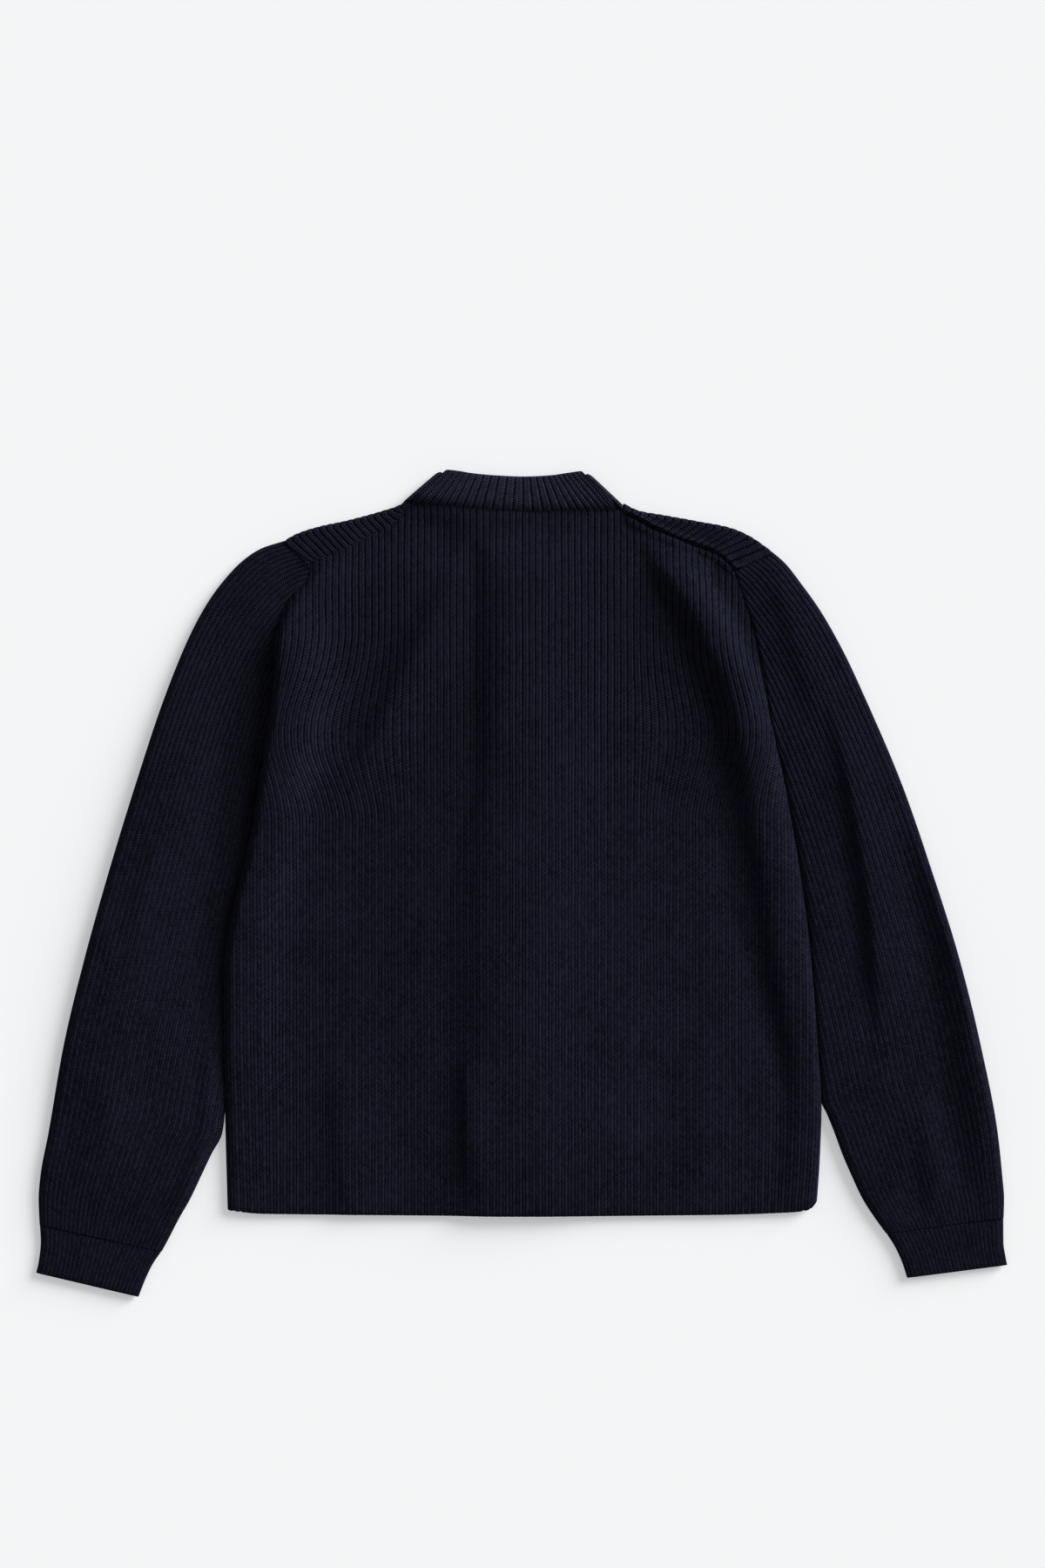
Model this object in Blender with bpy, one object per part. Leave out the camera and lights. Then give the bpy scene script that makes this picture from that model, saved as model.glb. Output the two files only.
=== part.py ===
"""Ribbed cardigan, laid flat and face down on a table, one closed solid for each knitted piece.

All sizes below are millimetres, and only add_object turns them into metres.
X runs across the cardigan, Y from hem to neck, Z up from the table. The origin is
at the bottom centre of the whole garment. "Left" is the side at -X.
"""

import math
from collections import namedtuple

import bmesh
import bpy
import numpy as np

MM = 0.001

# Cloth
WALL = 2.6            # one pressed layer of the knit, without its ribs
RIB_RISE = 1.0        # how far a rib stands above the groove beside it
AIR = 1.0             # slack between the front layer and the back layer
GAP = 0.4             # left open between two pieces at a seam
ARMHOLE_GAP = 1.0     # the same between a sleeve and the armhole, where short edges meet a curve
FLAT = 2 * WALL + AIR  # top of the back's plain wall where it lies flat
FOLD_REACH = 3.6      # plan radius of the fold over the shoulders and at the neck

# Rib counts
BACK_RIBS = 90
SLEEVE_RIBS = 30
CUFF_RIBS = 26
NECK_RIBS = 26
SHOULDER_RIBS = 18

# Sleeves: rib spacing at the top, length down the outer edge, rows down the sleeve, and
# places across the underside from the inner edge to the outer edge
UPPER_PITCH = 4.3
SLEEVE_RUN = 640.0
TIP_GAP = 2.6         # how far the sleeve starts below the tip of the shoulder
SLEEVE_ROWS = (
    0.0, 0.015, 0.045, 0.09, 0.15, 0.225, 0.315, 0.42, 0.54, 0.66, 0.78, 0.89, 0.97, 1.0,
)
UNDERSIDE = (0.04, 0.1, 0.25, 0.5, 0.75, 0.88, 0.95, 0.98)

# Closed sides
EDGE_MID = 3.5        # height at which the back meets the front on a side fold
EDGE_ROUND = 8.0      # distance over which a folded side rounds off
EDGE_INSET = 2.4      # thickness of the cloth seen in plan at a folded side
UNDERARM_Y = 115.0

# Front closure
BAND_CENTRE = -6.5
BAND_HALF = 17.5
BAND_TOP = 277.0
BUTTON_ACROSS = 18.0
BUTTON_THICK = 2.2
BUTTON_ROWS = (-262.0, -164.0, -66.0, 32.0, 130.0, 228.0)
OUTER_BAND_Z = BUTTON_THICK + 0.3
INNER_BAND_Z = OUTER_BAND_Z + WALL + 0.3
BACK_OVER_BANDS = INNER_BAND_Z + WALL + 0.8

# Outlines: the hem, the two side edges with their armholes, and the shoulder line
Place = namedtuple("Place", "x y")
Edge = namedtuple("Edge", "y left right")

HEM = (
    Place(-253, -281), Place(-223, -284), Place(-133, -285), Place(17, -286),
    Place(167, -285), Place(227, -283), Place(247, -280.5), Place(253.5, -274),
)
SIDES = (
    Edge(-281, -252.8, 253.4), Edge(-236, -254.1, 256.5), Edge(-190, -255.3, 258.0),
    Edge(-129, -256.5, 254.4), Edge(-71, -256.2, 250.0), Edge(-46, -252.8, 247.8),
    Edge(-21, -248.8, 244.8), Edge(16, -238.8, 239.5), Edge(58, -230.6, 232.2),
    Edge(88, -226.0, 226.5), Edge(115, -222.0, 220.6), Edge(149, -216.0, 213.4),
    Edge(178, -213.6, 209.0), Edge(203, -212.6, 203.8), Edge(226, -209.0, 198.4),
    Edge(245, -200.0, 191.6), Edge(260, -186.0, 186.2), Edge(269, -182.8, 183.6),
    Edge(276, -182.0, 183.0),
)
FRONT_ARMHOLE = (
    Edge(178, -213.6, 209.0), Edge(203, -210.6, 207.6), Edge(226, -207.6, 207.4),
    Edge(245, -205.2, 208.6), Edge(262, -203.8, 210.6), Edge(286, -203.0, 214.5),
    Edge(295, -203.2, 214.5),
)
BACK_TOP = (
    Place(-182, 275.4), Place(-168, 280.5), Place(-137, 294.8), Place(-112.5, 308.2),
    Place(-93, 325), Place(-75, 324.6), Place(-59, 322.5), Place(-29, 319.5),
    Place(1, 318), Place(38, 318.7), Place(70, 319.3), Place(85, 318.2),
    Place(118, 303), Place(142, 293.2), Place(167, 283.5), Place(179, 274.5),
    Place(183.2, 268.5),
)
SILHOUETTE = {
    "left": (
        Place(-203.2, 294.8), Place(-194, 300), Place(-179, 305.2), Place(-149, 312),
        Place(-119, 320.2), Place(-104, 325.6), Place(-98, 331),
    ),
    "right": (
        Place(87.5, 326.6), Place(100, 320.3), Place(121, 316.5), Place(151, 311.2),
        Place(181, 305), Place(196, 298.4), Place(214.5, 285.8),
    ),
}
SLEEVE_OUTER = {
    "left": (
        Place(-203.2, 294.8), Place(-224, 288), Place(-239, 278.2), Place(-254, 263),
        Place(-269, 243), Place(-284, 216), Place(-307, 160.5), Place(-332, 85.5),
        Place(-355, 10.5), Place(-376, -64.5), Place(-394, -139.5), Place(-407, -214.5),
        Place(-414, -252), Place(-415.5, -271), Place(-414.6, -293.5),
    ),
    "right": (
        Place(214.5, 285.8), Place(226, 276), Place(241, 257), Place(256, 236),
        Place(277.5, 198), Place(295, 160.5), Place(327, 85.5), Place(353, 10.5),
        Place(376.5, -64.5), Place(395, -139.5), Place(409.5, -214.5), Place(413.5, -252),
        Place(415, -271), Place(414.6, -287.5),
    ),
}
SLEEVE_INNER_TAIL = {
    "left": (
        Place(-257.4, -214), Place(-267, -233), Place(-276, -252), Place(-285, -271),
        Place(-295.5, -289.5), Place(-305, -308), Place(-309.8, -316.5),
    ),
    "right": (
        Place(262.5, -198), Place(269.2, -214.5), Place(276, -233), Place(284.2, -252),
        Place(293.2, -271), Place(305.2, -289.5), Place(313.5, -300.8),
    ),
}
# The sleeve's inner edge carried on under the back, above the underarm
SLEEVE_HIDDEN = {
    "left": (Place(-122, 221), Place(-172, 172), Place(-208, 136)),
    "right": (Place(118, 233), Place(170, 184), Place(204, 145)),
}
CUFF_OUTER = {
    "left": (Place(-413.4, -294.3), Place(-413.6, -308), Place(-415.5, -326), Place(-417.6, -334.6)),
    "right": (Place(413.4, -288.2), Place(414.4, -308), Place(416.4, -322), Place(417.6, -327.9)),
}
CUFF_INNER = {
    "left": (Place(-311.2, -317.4), Place(-317.2, -327), Place(-324, -341), Place(-329.6, -355.3)),
    "right": (Place(315.0, -301.8), Place(321.5, -313), Place(327.8, -327), Place(331.6, -339)),
}

# Neckband: its seam and its free edge, over the back and then round each front
BandEdge = namedtuple("BandEdge", "part seam_x seam_y free_x free_y")
NECK_BACK = (
    BandEdge(0.00, -94.6, 329.6, -68.0, 352.6), BandEdge(0.05, -91.0, 327.2, -64.0, 355.6),
    BandEdge(0.14, -75.0, 325.4, -54.0, 354.6), BandEdge(0.23, -59.0, 323.2, -44.0, 352.9),
    BandEdge(0.37, -29.0, 320.2, -22.0, 350.8), BandEdge(0.50, 1.0, 318.7, 1.0, 349.8),
    BandEdge(0.67, 38.0, 319.4, 24.0, 350.8), BandEdge(0.83, 66.0, 320.0, 40.0, 353.0),
    BandEdge(0.94, 80.0, 320.4, 51.0, 354.4), BandEdge(1.00, 82.6, 324.6, 54.6, 351.0),
)
NECK_FRONT = {
    "left": (
        BandEdge(0.0, -94.6, 329.6, -68.0, 352.6), BandEdge(0.2, -93.0, 314.0, -60.0, 322.0),
        BandEdge(0.4, -87.0, 295.0, -55.0, 305.0), BandEdge(0.6, -75.0, 273.0, -47.0, 289.0),
        BandEdge(0.75, -57.6, 256.2, -38.0, 281.0), BandEdge(0.9, -40.0, 247.6, -31.0, 277.8),
        BandEdge(1.0, -24.6, 244.2, -24.6, 277.0),
    ),
    "right": (
        BandEdge(0.0, 82.6, 324.6, 54.6, 351.0), BandEdge(0.2, 81.6, 311.0, 49.0, 320.0),
        BandEdge(0.4, 75.0, 292.0, 43.0, 303.0), BandEdge(0.6, 62.6, 271.0, 35.0, 288.0),
        BandEdge(0.75, 45.2, 255.4, 26.0, 280.6), BandEdge(0.9, 27.4, 247.2, 18.0, 277.6),
        BandEdge(1.0, 11.6, 244.2, 11.6, 277.0),
    ),
}
NECKLINE = {
    "left": (
        Place(-98, 327.4), Place(-94.8, 315), Place(-88.4, 294.2), Place(-76, 271.8),
        Place(-58.2, 254.8), Place(-40, 246.2), Place(-24.4, 242.8),
    ),
    "right": (
        Place(11.4, 242.8), Place(27.4, 245.8), Place(46, 254), Place(63.8, 270),
        Place(76.4, 291.4), Place(83.6, 311.6), Place(87.5, 323.0),
    ),
}

# Folds: the crest's X at three heights, its rise, and how far it spreads to each side
Fold = namedtuple("Fold", "name low_y low_x mid_y mid_x high_y high_x rise left right")
BODY_FOLDS = (
    Fold("right shoulder ridge", 92, 209, 165, 187, 268, 141, 7.5, 22, 15),
    Fold("right shoulder valley", 40, 192, 150, 163, 258, 126, -0.8, 16, 16),
    Fold("left chest ridge", 60, -214, 160, -201, 236, -184, 4.6, 12, 38),
    Fold("left chest valley", 70, -122, 160, -97, 250, -74, -0.7, 30, 30),
    Fold("right side ridge", -190, 250, -40, 240, 80, 226, 3.6, 15, 12),
    Fold("right side valley", -150, 214, -20, 199, 90, 184, -0.7, 18, 18),
    Fold("left side ridge", -240, -245, -80, -245, 60, -219, 2.6, 10, 16),
    Fold("short hem crease", -222, -37, -185, -40, -148, -43, -0.9, 5, 7),
    Fold("left hem swell", -290, -150, -230, -152, -150, -156, 1.2, 16, 30),
    Fold("dip under the neckband", 286, -56, 303, -58, 318, -60, -0.8, 20, 20),
    Fold("dip under the right shoulder", 272, 118, 290, 118, 304, 116, -1.0, 26, 26),
)
SLEEVE_FOLDS = {
    "left": (
        Fold("inner edge ridge", -320, -318, -200, -266, -80, -266, 1.6, 9, 7),
        Fold("upper swell", -40, -300, 110, -268, 250, -228, 1.8, 40, 30),
    ),
    "right": (
        Fold("upper arm ridge", -130, 310, -10, 300, 110, 271, 3.6, 11, 24),
        Fold("outer trough", -240, 367, -110, 346, 20, 333, -0.9, 14, 16),
        Fold("lower swell", -290, 352, -250, 352, -200, 350, 1.4, 24, 20),
    ),
}


def smooth(t):
    """0 below t = 0, 1 above t = 1, and an S-shaped rise between."""
    t = np.clip(t, 0.0, 1.0)
    return t * t * (3.0 - 2.0 * t)


def quarter(t):
    """Rises like a quarter of a circle, from 0 at t = 0 to 1 at t = 1."""
    t = np.clip(t, 0.0, 1.0)
    return np.sqrt(1.0 - (1.0 - t) ** 2)


def lerp(a, b, t):
    return a + (b - a) * t


def curve(places, values, at):
    """A smooth line through the values that never overshoots them."""
    places = np.asarray(places, float)
    values = np.asarray(values, float)
    step = np.diff(places)
    slope = np.diff(values) / step
    same = slope[:-1] * slope[1:] > 0
    before = np.where(same, slope[:-1], 1.0)
    after = np.where(same, slope[1:], 1.0)
    weight_a = 2 * step[1:] + step[:-1]
    weight_b = step[1:] + 2 * step[:-1]
    inner = np.where(same, (weight_a + weight_b) / (weight_a / before + weight_b / after), 0.0)
    tangent = np.concatenate([slope[:1], inner, slope[-1:]])
    at = np.clip(at, places[0], places[-1])
    k = np.clip(np.searchsorted(places, at) - 1, 0, len(step) - 1)
    t = (at - places[k]) / step[k]
    keep = (1 + 2 * t) * (1 - t) ** 2 * values[k] + t * t * (3 - 2 * t) * values[k + 1]
    lean = t * (1 - t) ** 2 * tangent[k] - t * t * (1 - t) * tangent[k + 1]
    return keep + step[k] * lean


def column_of(rows, name):
    return [getattr(row, name) for row in rows]


def height_of_line(places, x):
    """Y of an outline that is given as places from left to right."""
    return curve(column_of(places, "x"), column_of(places, "y"), x)


def along(places, t):
    """Points at the fractions t of the length of a line through the places."""
    points = np.array([(place.x, place.y) for place in places], float)
    length = np.concatenate([[0.0], np.cumsum(np.hypot(*np.diff(points, axis=0).T))])
    t = np.asarray(t, float) * length[-1]
    return np.stack([curve(length, points[:, 0], t), curve(length, points[:, 1], t)], -1)


def side_edge(y, side):
    return curve(column_of(SIDES, "y"), column_of(SIDES, side), y)


def front_edge(y, side):
    """The front's side edge: the back's up to the armhole, then a plainer curve."""
    low = curve(column_of(SIDES, "y"), column_of(SIDES, side), y)
    high = curve(column_of(FRONT_ARMHOLE, "y"), column_of(FRONT_ARMHOLE, side), y)
    return np.where(y < FRONT_ARMHOLE[0].y, low, high)


def fold_height(folds, x, y):
    """Sum of the folds at a place. Each fades out at both of its ends."""
    total = np.zeros(np.broadcast(x, y).shape)
    for fold in folds:
        crest = curve(
            (fold.low_y, fold.mid_y, fold.high_y), (fold.low_x, fold.mid_x, fold.high_x), y
        )
        reach = 0.45 * (fold.high_y - fold.low_y)
        fade = smooth((y - fold.low_y) / reach) * smooth((fold.high_y - y) / reach)
        spread = np.where(x < crest, fold.left, fold.right)
        total = total + fold.rise * fade * np.exp(-(((x - crest) / spread) ** 2))
    return total


def band_lift(x, y, flat, lifted, start, end):
    """Height of a layer that climbs from flat onto the front bands."""
    away = np.abs(x - BAND_CENTRE)
    fades = smooth((BAND_TOP + 30.0 - y) / 26.0)
    return flat + (lifted - flat) * (1.0 - smooth((away - start) / (end - start))) * fades


def body_top(x, y):
    """Height of the plain top of the back and of the shoulder strips."""
    over_bands = band_lift(x, y, 0.0, BACK_OVER_BANDS - WALL - AIR, 21.0, 50.0)
    return FLAT + over_bands + fold_height(BODY_FOLDS, x, y)


def side_distance(x, y):
    """Distance from the nearer side edge, and which way is inwards there."""
    from_left = x - side_edge(y, "left")
    from_right = side_edge(y, "right") - x
    return np.minimum(from_left, from_right), np.where(from_left < from_right, 1.0, -1.0)


def above_underarm(y):
    """0 along the folded side, 1 along the armhole seam."""
    return smooth((y - UNDERARM_Y) / 14.0)


def inset(distance, amount):
    """Moves a point inwards, by the full amount at the edge and by less further in."""
    return amount * np.exp(-distance / 4.0)


def back_top_line(x):
    return height_of_line(BACK_TOP, x) - 1.6 * GAP


def back_outer(x, y, rib):
    """Outer surface of the back. rib is 0 in a groove and 1 on a rib."""
    distance, _ = side_distance(x, y)
    distance = np.maximum(distance, 0.0)
    plain = body_top(x, y)
    seam = above_underarm(y)
    folded = EDGE_MID + (plain - EDGE_MID) * quarter(distance / EDGE_ROUND)
    sewn = plain - 0.9 * (1.0 - smooth(distance / 6.0))
    top = 0.9 * (1.0 - smooth((back_top_line(x) - y) / 6.0))
    hem = 0.8 * (1.0 - smooth((y - height_of_line(HEM, x)) / 4.0))
    shown = lerp(quarter(distance / EDGE_ROUND), 1.0, seam)
    return lerp(folded, sewn, seam) - top - hem * shown + RIB_RISE * rib * shown


def back_inner(x, y):
    """Inner surface of the back: moved in at the sides, one wall below the outer."""
    distance, inwards = side_distance(x, y)
    distance = np.maximum(distance, 0.0)
    seam = above_underarm(y)
    amount = lerp(EDGE_INSET, 0.1, seam)
    moved = inset(distance, amount)
    level = body_top(x, y) - WALL
    rise = quarter((distance + moved - amount) / 6.0)
    z = lerp(EDGE_MID + (level - EDGE_MID) * rise, level, seam)
    return x + inwards * moved, y, z


def armpit_drag(base_x, y):
    """Sideways push of the ribs beside the armpits, largest at the underarm."""
    below = smooth((y - 30.0) / 80.0)
    above = smooth((268.0 - y) / 155.0)
    reach = smooth((np.abs(base_x) - 120.0) / 85.0)
    return np.sign(base_x) * 13.0 * reach * np.where(y < 111.0, below, above)


def hip_swell(base_x, y):
    """Keeps the outermost ribs parallel to the side where the side swells out."""
    left = side_edge(np.minimum(y, -129.0), "left") - SIDES[0].left
    right = side_edge(np.minimum(y, -190.0), "right") - SIDES[0].right
    reach = smooth((np.abs(base_x) - 190.0) / 60.0)
    return np.where(base_x < 0, left, right) * reach


def rib_line(base_x, y):
    return base_x + armpit_drag(base_x, y) + hip_swell(base_x, y)


def rib_end(base_x):
    """Y at which a rib of the back runs into an armhole, a shoulder or the neck seam."""
    y = np.linspace(-281.0, 330.0, 2445)
    x = rib_line(base_x, y)
    inside = (x >= side_edge(y, "left") - 0.02) & (x <= side_edge(y, "right") + 0.02)
    inside &= y <= back_top_line(np.clip(x, BACK_TOP[0].x, BACK_TOP[-1].x))
    leaves = np.nonzero(~inside[40:])[0]
    return y[40 + leaves[0]]


def bridge(line_a, line_b, keys_a, keys_b):
    """Triangles between two lines of points, whose keys say how far along each point is."""
    faces = []
    i = j = 0
    last_i = len(line_a) - 1
    last_j = len(line_b) - 1
    while i < last_i or j < last_j:
        if j == last_j or (i < last_i and keys_a[i] + keys_a[i + 1] <= keys_b[j] + keys_b[j + 1]):
            faces.append((line_a[i], line_a[i + 1], line_b[j]))
            i += 1
        else:
            faces.append((line_a[i], line_b[j + 1], line_b[j]))
            j += 1
    return faces


def material(name, colour, roughness):
    made = bpy.data.materials.new(name)
    made.use_nodes = True
    shader = made.node_tree.nodes["Principled BSDF"]
    shader.inputs["Base Color"].default_value = (*colour, 1.0)
    shader.inputs["Roughness"].default_value = roughness
    shader.inputs["Metallic"].default_value = 0.0
    return made


def add_object(name, points, faces, look):
    """Makes one object from points in millimetres, with its faces turned outwards."""
    mesh = bpy.data.meshes.new(name)
    shape = bmesh.new()
    corners = [shape.verts.new(tuple(np.asarray(point, float) * MM)) for point in points]
    for face in faces:
        if len(set(face)) > 2:
            shape.faces.new([corners[k] for k in face])
    bmesh.ops.recalc_face_normals(shape, faces=shape.faces)
    shape.to_mesh(mesh)
    shape.free()
    mesh.materials.append(look)
    made = bpy.data.objects.new(name, mesh)
    bpy.context.scene.collection.objects.link(made)
    return made


def wall_from_lines(name, outer, inner, look):
    """A wall between two surfaces. Each is a list of (points, keys, row key)."""
    points = []
    faces = []
    ids = []
    for surface in (outer, inner):
        lines = []
        for line, _, _ in surface:
            lines.append(list(range(len(points), len(points) + len(line))))
            points.extend(line)
        for k in range(len(surface) - 1):
            faces += bridge(lines[k], lines[k + 1], surface[k][1], surface[k + 1][1])
        ids.append(lines)
    for end in (0, -1):
        faces += bridge(ids[0][end], ids[1][end], outer[end][1], inner[end][1])
    row_keys = [[row[2] for row in surface] for surface in (outer, inner)]
    for side in (0, -1):
        edge_a = [line[side] for line in ids[0]]
        edge_b = [line[side] for line in ids[1]]
        faces += bridge(edge_a, edge_b, row_keys[0], row_keys[1])
    return add_object(name, points, faces, look)


def tube_from_rings(name, outer, inner, look):
    """A closed sleeve between two lists of (ring of points, keys)."""
    points = []
    faces = []
    ends = []
    for surface in (outer, inner):
        rings = []
        for ring, _ in surface:
            first = len(points)
            points.extend(ring)
            rings.append(list(range(first, first + len(ring))) + [first])
        keys = [list(row[1]) + [1.0] for row in surface]
        for k in range(len(surface) - 1):
            faces += bridge(rings[k], rings[k + 1], keys[k], keys[k + 1])
        ends.append((rings, keys))
    for end in (0, -1):
        faces += bridge(ends[0][0][end], ends[1][0][end], ends[0][1][end], ends[1][1][end])
    return add_object(name, points, faces, look)


def shell_from_faces(name, outer, inner, faces, look):
    """A wall whose two surfaces share one net of faces, closed along its open edges."""
    count = len(outer)
    used = {}
    for face in faces:
        for a, b in zip(face, face[1:] + face[:1]):
            used[(a, b)] = used.get((a, b), 0) + 1
    rim = [(a, b) for a, b in used if (b, a) not in used]
    both = list(faces)
    both += [tuple(k + count for k in reversed(face)) for face in faces]
    for a, b in rim:
        both.append((b, a, a + count))
        both.append((b, a + count, b + count))
    return add_object(name, list(outer) + list(inner), both, look)


def row_places(length, steps):
    """Distances along a rib: close together at the hem and at its upper end."""
    near_end = np.array([42.0, 20.0, 9.0, 3.0, 0.0]) * min(1.0, length / 150.0)
    middle = np.linspace(3.0, length - near_end[0], steps + 1)
    return np.concatenate([[0.0], middle, length - near_end[1:]])


def build_back(look):
    steps = 7
    bases = np.linspace(SIDES[0].left, SIDES[0].right, 2 * BACK_RIBS + 1)
    spans = []
    for base in bases:
        start = float(height_of_line(HEM, base))
        spans.append(start + row_places(rib_end(base) - start, steps))
    y = np.array(spans)
    x = rib_line(bases[:, None], y)
    rib = (np.arange(len(bases)) % 2)[:, None]
    z = back_outer(x, y, rib)
    keys = np.linspace(0.0, 1.0, len(bases))
    rows = np.linspace(0.0, 1.0, y.shape[1])
    outer = [
        (np.stack([x[:, k], y[:, k], z[:, k]], -1), keys, rows[k]) for k in range(y.shape[1])
    ]
    half = [0, 1, *range(2, 26, 2), *range(26, 62, 3), *range(62, BACK_RIBS, 7)]
    kept = half + [2 * BACK_RIBS - k for k in reversed(half)]
    inside = [0, 1, 2, 3, 4, 5, 6, 7, 8, 9, 10, 12]
    in_x, in_y, in_z = back_inner(x[kept], y[kept])
    inner = [
        (np.stack([in_x[:, k], in_y[:, k], in_z[:, k]], -1), keys[kept], rows[k]) for k in inside
    ]
    return wall_from_lines("back", outer, inner, look)


def front_lift(x, y, side):
    """Height of the underside of a front, which climbs to its own band."""
    lifted = INNER_BAND_Z if side == "left" else OUTER_BAND_Z
    return band_lift(x, y, 0.0, lifted, BAND_HALF + 0.5, 40.0)


def front_floor(x, y, side, layer):
    """A point of the front's lower part. layer 0 is the outside, 1 the inside."""
    edge = front_edge(y, side)
    inwards = 1.0 if side == "left" else -1.0
    distance = np.maximum((x - edge) * inwards, 0.0)
    seam = above_underarm(y)
    rim = EDGE_MID - 0.3
    lift = front_lift(x, y, side)
    if layer == 0:
        z = lerp(rim * (1.0 - quarter(distance / EDGE_ROUND)), 0.0, seam)
        return np.stack([x, y, z + lift], -1)
    amount = lerp(EDGE_INSET, 0.1, seam)
    moved = inset(distance, amount)
    rise = 1.0 - quarter((distance + moved - amount) / 6.0)
    z = lerp(WALL + (rim - WALL) * rise, WALL, seam)
    return np.stack([x + inwards * moved, y, z + lift], -1)


def front_top(x, side):
    """Upper edge of the front's lower part: the neckline, then the shoulder fold."""
    neckline = height_of_line(NECKLINE[side], x)
    fold = height_of_line(SILHOUETTE[side], x) - FOLD_REACH
    corner = NECKLINE["left"][0].x if side == "left" else NECKLINE["right"][-1].x
    on_shoulder = x < corner if side == "left" else x > corner
    return np.where(on_shoulder, fold, neckline)


def front_places(parts, row, side):
    """Plan points at fractions of the way from the band to the side edge."""
    centre = BAND_CENTRE - BAND_HALF - GAP if side == "left" else BAND_CENTRE + BAND_HALF + GAP
    x = lerp(centre, front_edge(np.full(len(parts), -200.0), side), parts)
    for _ in range(60):
        y = lerp(height_of_line(HEM, x) + 1.0, front_top(x, side), row)
        x = lerp(centre, front_edge(y, side), parts)
    return x, y


def shoulder_seam(parts, side):
    """Points of the shoulder seam, from the neck outwards, on the strip's side of it."""
    if side == "left":
        x = lerp(-93.2, -182.0, parts)
    else:
        x = lerp(85.4, 183.2, parts)
    return x, height_of_line(BACK_TOP, x)


def build_front(side, look):
    centre = BAND_CENTRE - BAND_HALF - GAP if side == "left" else BAND_CENTRE + BAND_HALF + GAP
    corner = NECKLINE["left"][0].x if side == "left" else NECKLINE["right"][-1].x
    tip = SILHOUETTE["left"][0].x if side == "left" else SILHOUETTE["right"][-1].x
    neck_part = (corner - centre) / (tip - centre)
    neck = neck_part * np.array([0.0, 0.1, 0.25, 0.4, 0.55, 0.7, 0.82, 0.92])
    coarse_way = np.array([0.0, 0.2, 0.4, 0.6, 0.8, 0.92, 0.97, 1.0])
    fine_way = np.linspace(0.0, 1.0, 2 * SHOULDER_RIBS + 1)
    coarse = np.concatenate([neck, lerp(neck_part, 1.0, coarse_way)])
    mixed = np.concatenate([neck, lerp(neck_part, 1.0, fine_way)])
    fine = mixed[len(neck):]
    lines = []
    for row in (0.0, 0.17, 0.34, 0.5, 0.64, 0.71, 0.77, 0.83, 0.885, 0.935, 0.975, 1.0):
        parts = mixed if row == 1.0 else coarse
        x, y = front_places(parts, row, side)
        lines.append((front_floor(x, y, side, 0), front_floor(x, y, side, 1), parts))
    fold_x, fold_y = x[len(neck):], y[len(neck):]
    rib = np.arange(len(fine)) % 2
    for turn in (45, 90, 135, 180):
        lines.append((*shoulder_turn(fold_x, fold_y, rib, math.radians(turn)), fine))
    seam_x, seam_y = shoulder_seam(fine_way, side)
    for way in (0.6, 1.0):
        strip_x = lerp(fold_x, seam_x, way)
        strip_y = lerp(fold_y, seam_y, way)
        lines.append((*shoulder_strip(strip_x, strip_y, rib, way), fine))
    return build_front_shell(side, lines, len(neck), look)


def shoulder_turn(x, y, rib, turn):
    """The cloth as it goes round the fold over the shoulder."""
    full = body_top(x, y)
    out_y = y + FOLD_REACH * math.sin(turn)
    in_y = y + (FOLD_REACH - WALL) * math.sin(turn)
    raised = RIB_RISE * rib * max(0.0, -math.cos(turn))
    out_z = 0.5 * full * (1.0 - math.cos(turn)) + raised
    in_z = 0.5 * full - (0.5 * full - WALL) * math.cos(turn)
    return np.stack([x, out_y, out_z], -1), np.stack([x, in_y, in_z], -1)


def shoulder_strip(x, y, rib, way):
    """The strip of the front that lies on top, down to the shoulder seam."""
    plain = body_top(x, y)
    dip = 0.7 * smooth((way - 0.5) / 0.5)
    outer = np.stack([x, y, plain - dip + RIB_RISE * rib], -1)
    return outer, np.stack([x, y, plain - WALL], -1)


def build_front_shell(side, lines, neck_count, look):
    outer = np.concatenate([line[0] for line in lines])
    inner = np.concatenate([line[1] for line in lines])
    starts = np.cumsum([0] + [len(line[0]) for line in lines])
    ids = [list(range(starts[k], starts[k + 1])) for k in range(len(lines))]
    keys = [list(line[2]) for line in lines]
    faces = []
    for k in range(len(lines) - 1):
        line_a, keys_a = ids[k], keys[k]
        if len(ids[k]) > len(ids[k + 1]) and keys[k][0] < keys[k + 1][0]:
            line_a, keys_a = ids[k][neck_count:], keys[k][neck_count:]
        faces += bridge(line_a, ids[k + 1], keys_a, keys[k + 1])
    return shell_from_faces("front_" + side, outer, inner, faces, look)


def armhole_line(side, layer, t):
    """The sleeve's edge of the armhole, from the shoulder fold to the underarm."""
    tip = SILHOUETTE["left"][0] if side == "left" else SILHOUETTE["right"][-1]
    if layer == "upper":
        corner = BACK_TOP[0] if side == "left" else BACK_TOP[-1]
        turned = Place(tip.x, tip.y - FOLD_REACH)
        rows = [tip] + [
            Place(lerp(turned.x, corner.x, way), lerp(turned.y, corner.y, way))
            for way in (0.0, 0.1, 0.4, 0.7, 0.9, 1.0)
        ]
        heights = np.linspace(corner.y - 4.0, UNDERARM_Y, 26)
        rows += [Place(float(side_edge(y, side)), y) for y in heights]
    else:
        heights = np.linspace(tip.y, UNDERARM_Y, 12)
        rows = [Place(float(front_edge(y, side)), y) for y in heights]
    points = along(rows, t)
    ahead = along(rows, np.clip(t + 0.01, 0.0, 1.0)) - along(rows, np.clip(t - 0.01, 0.0, 1.0))
    ahead /= np.hypot(*ahead.T)[:, None]
    turn = 1.0 if side == "left" else -1.0
    outward = np.stack([ahead[:, 1], -ahead[:, 0]], -1) * turn
    return points + ARMHOLE_GAP * outward


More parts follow.
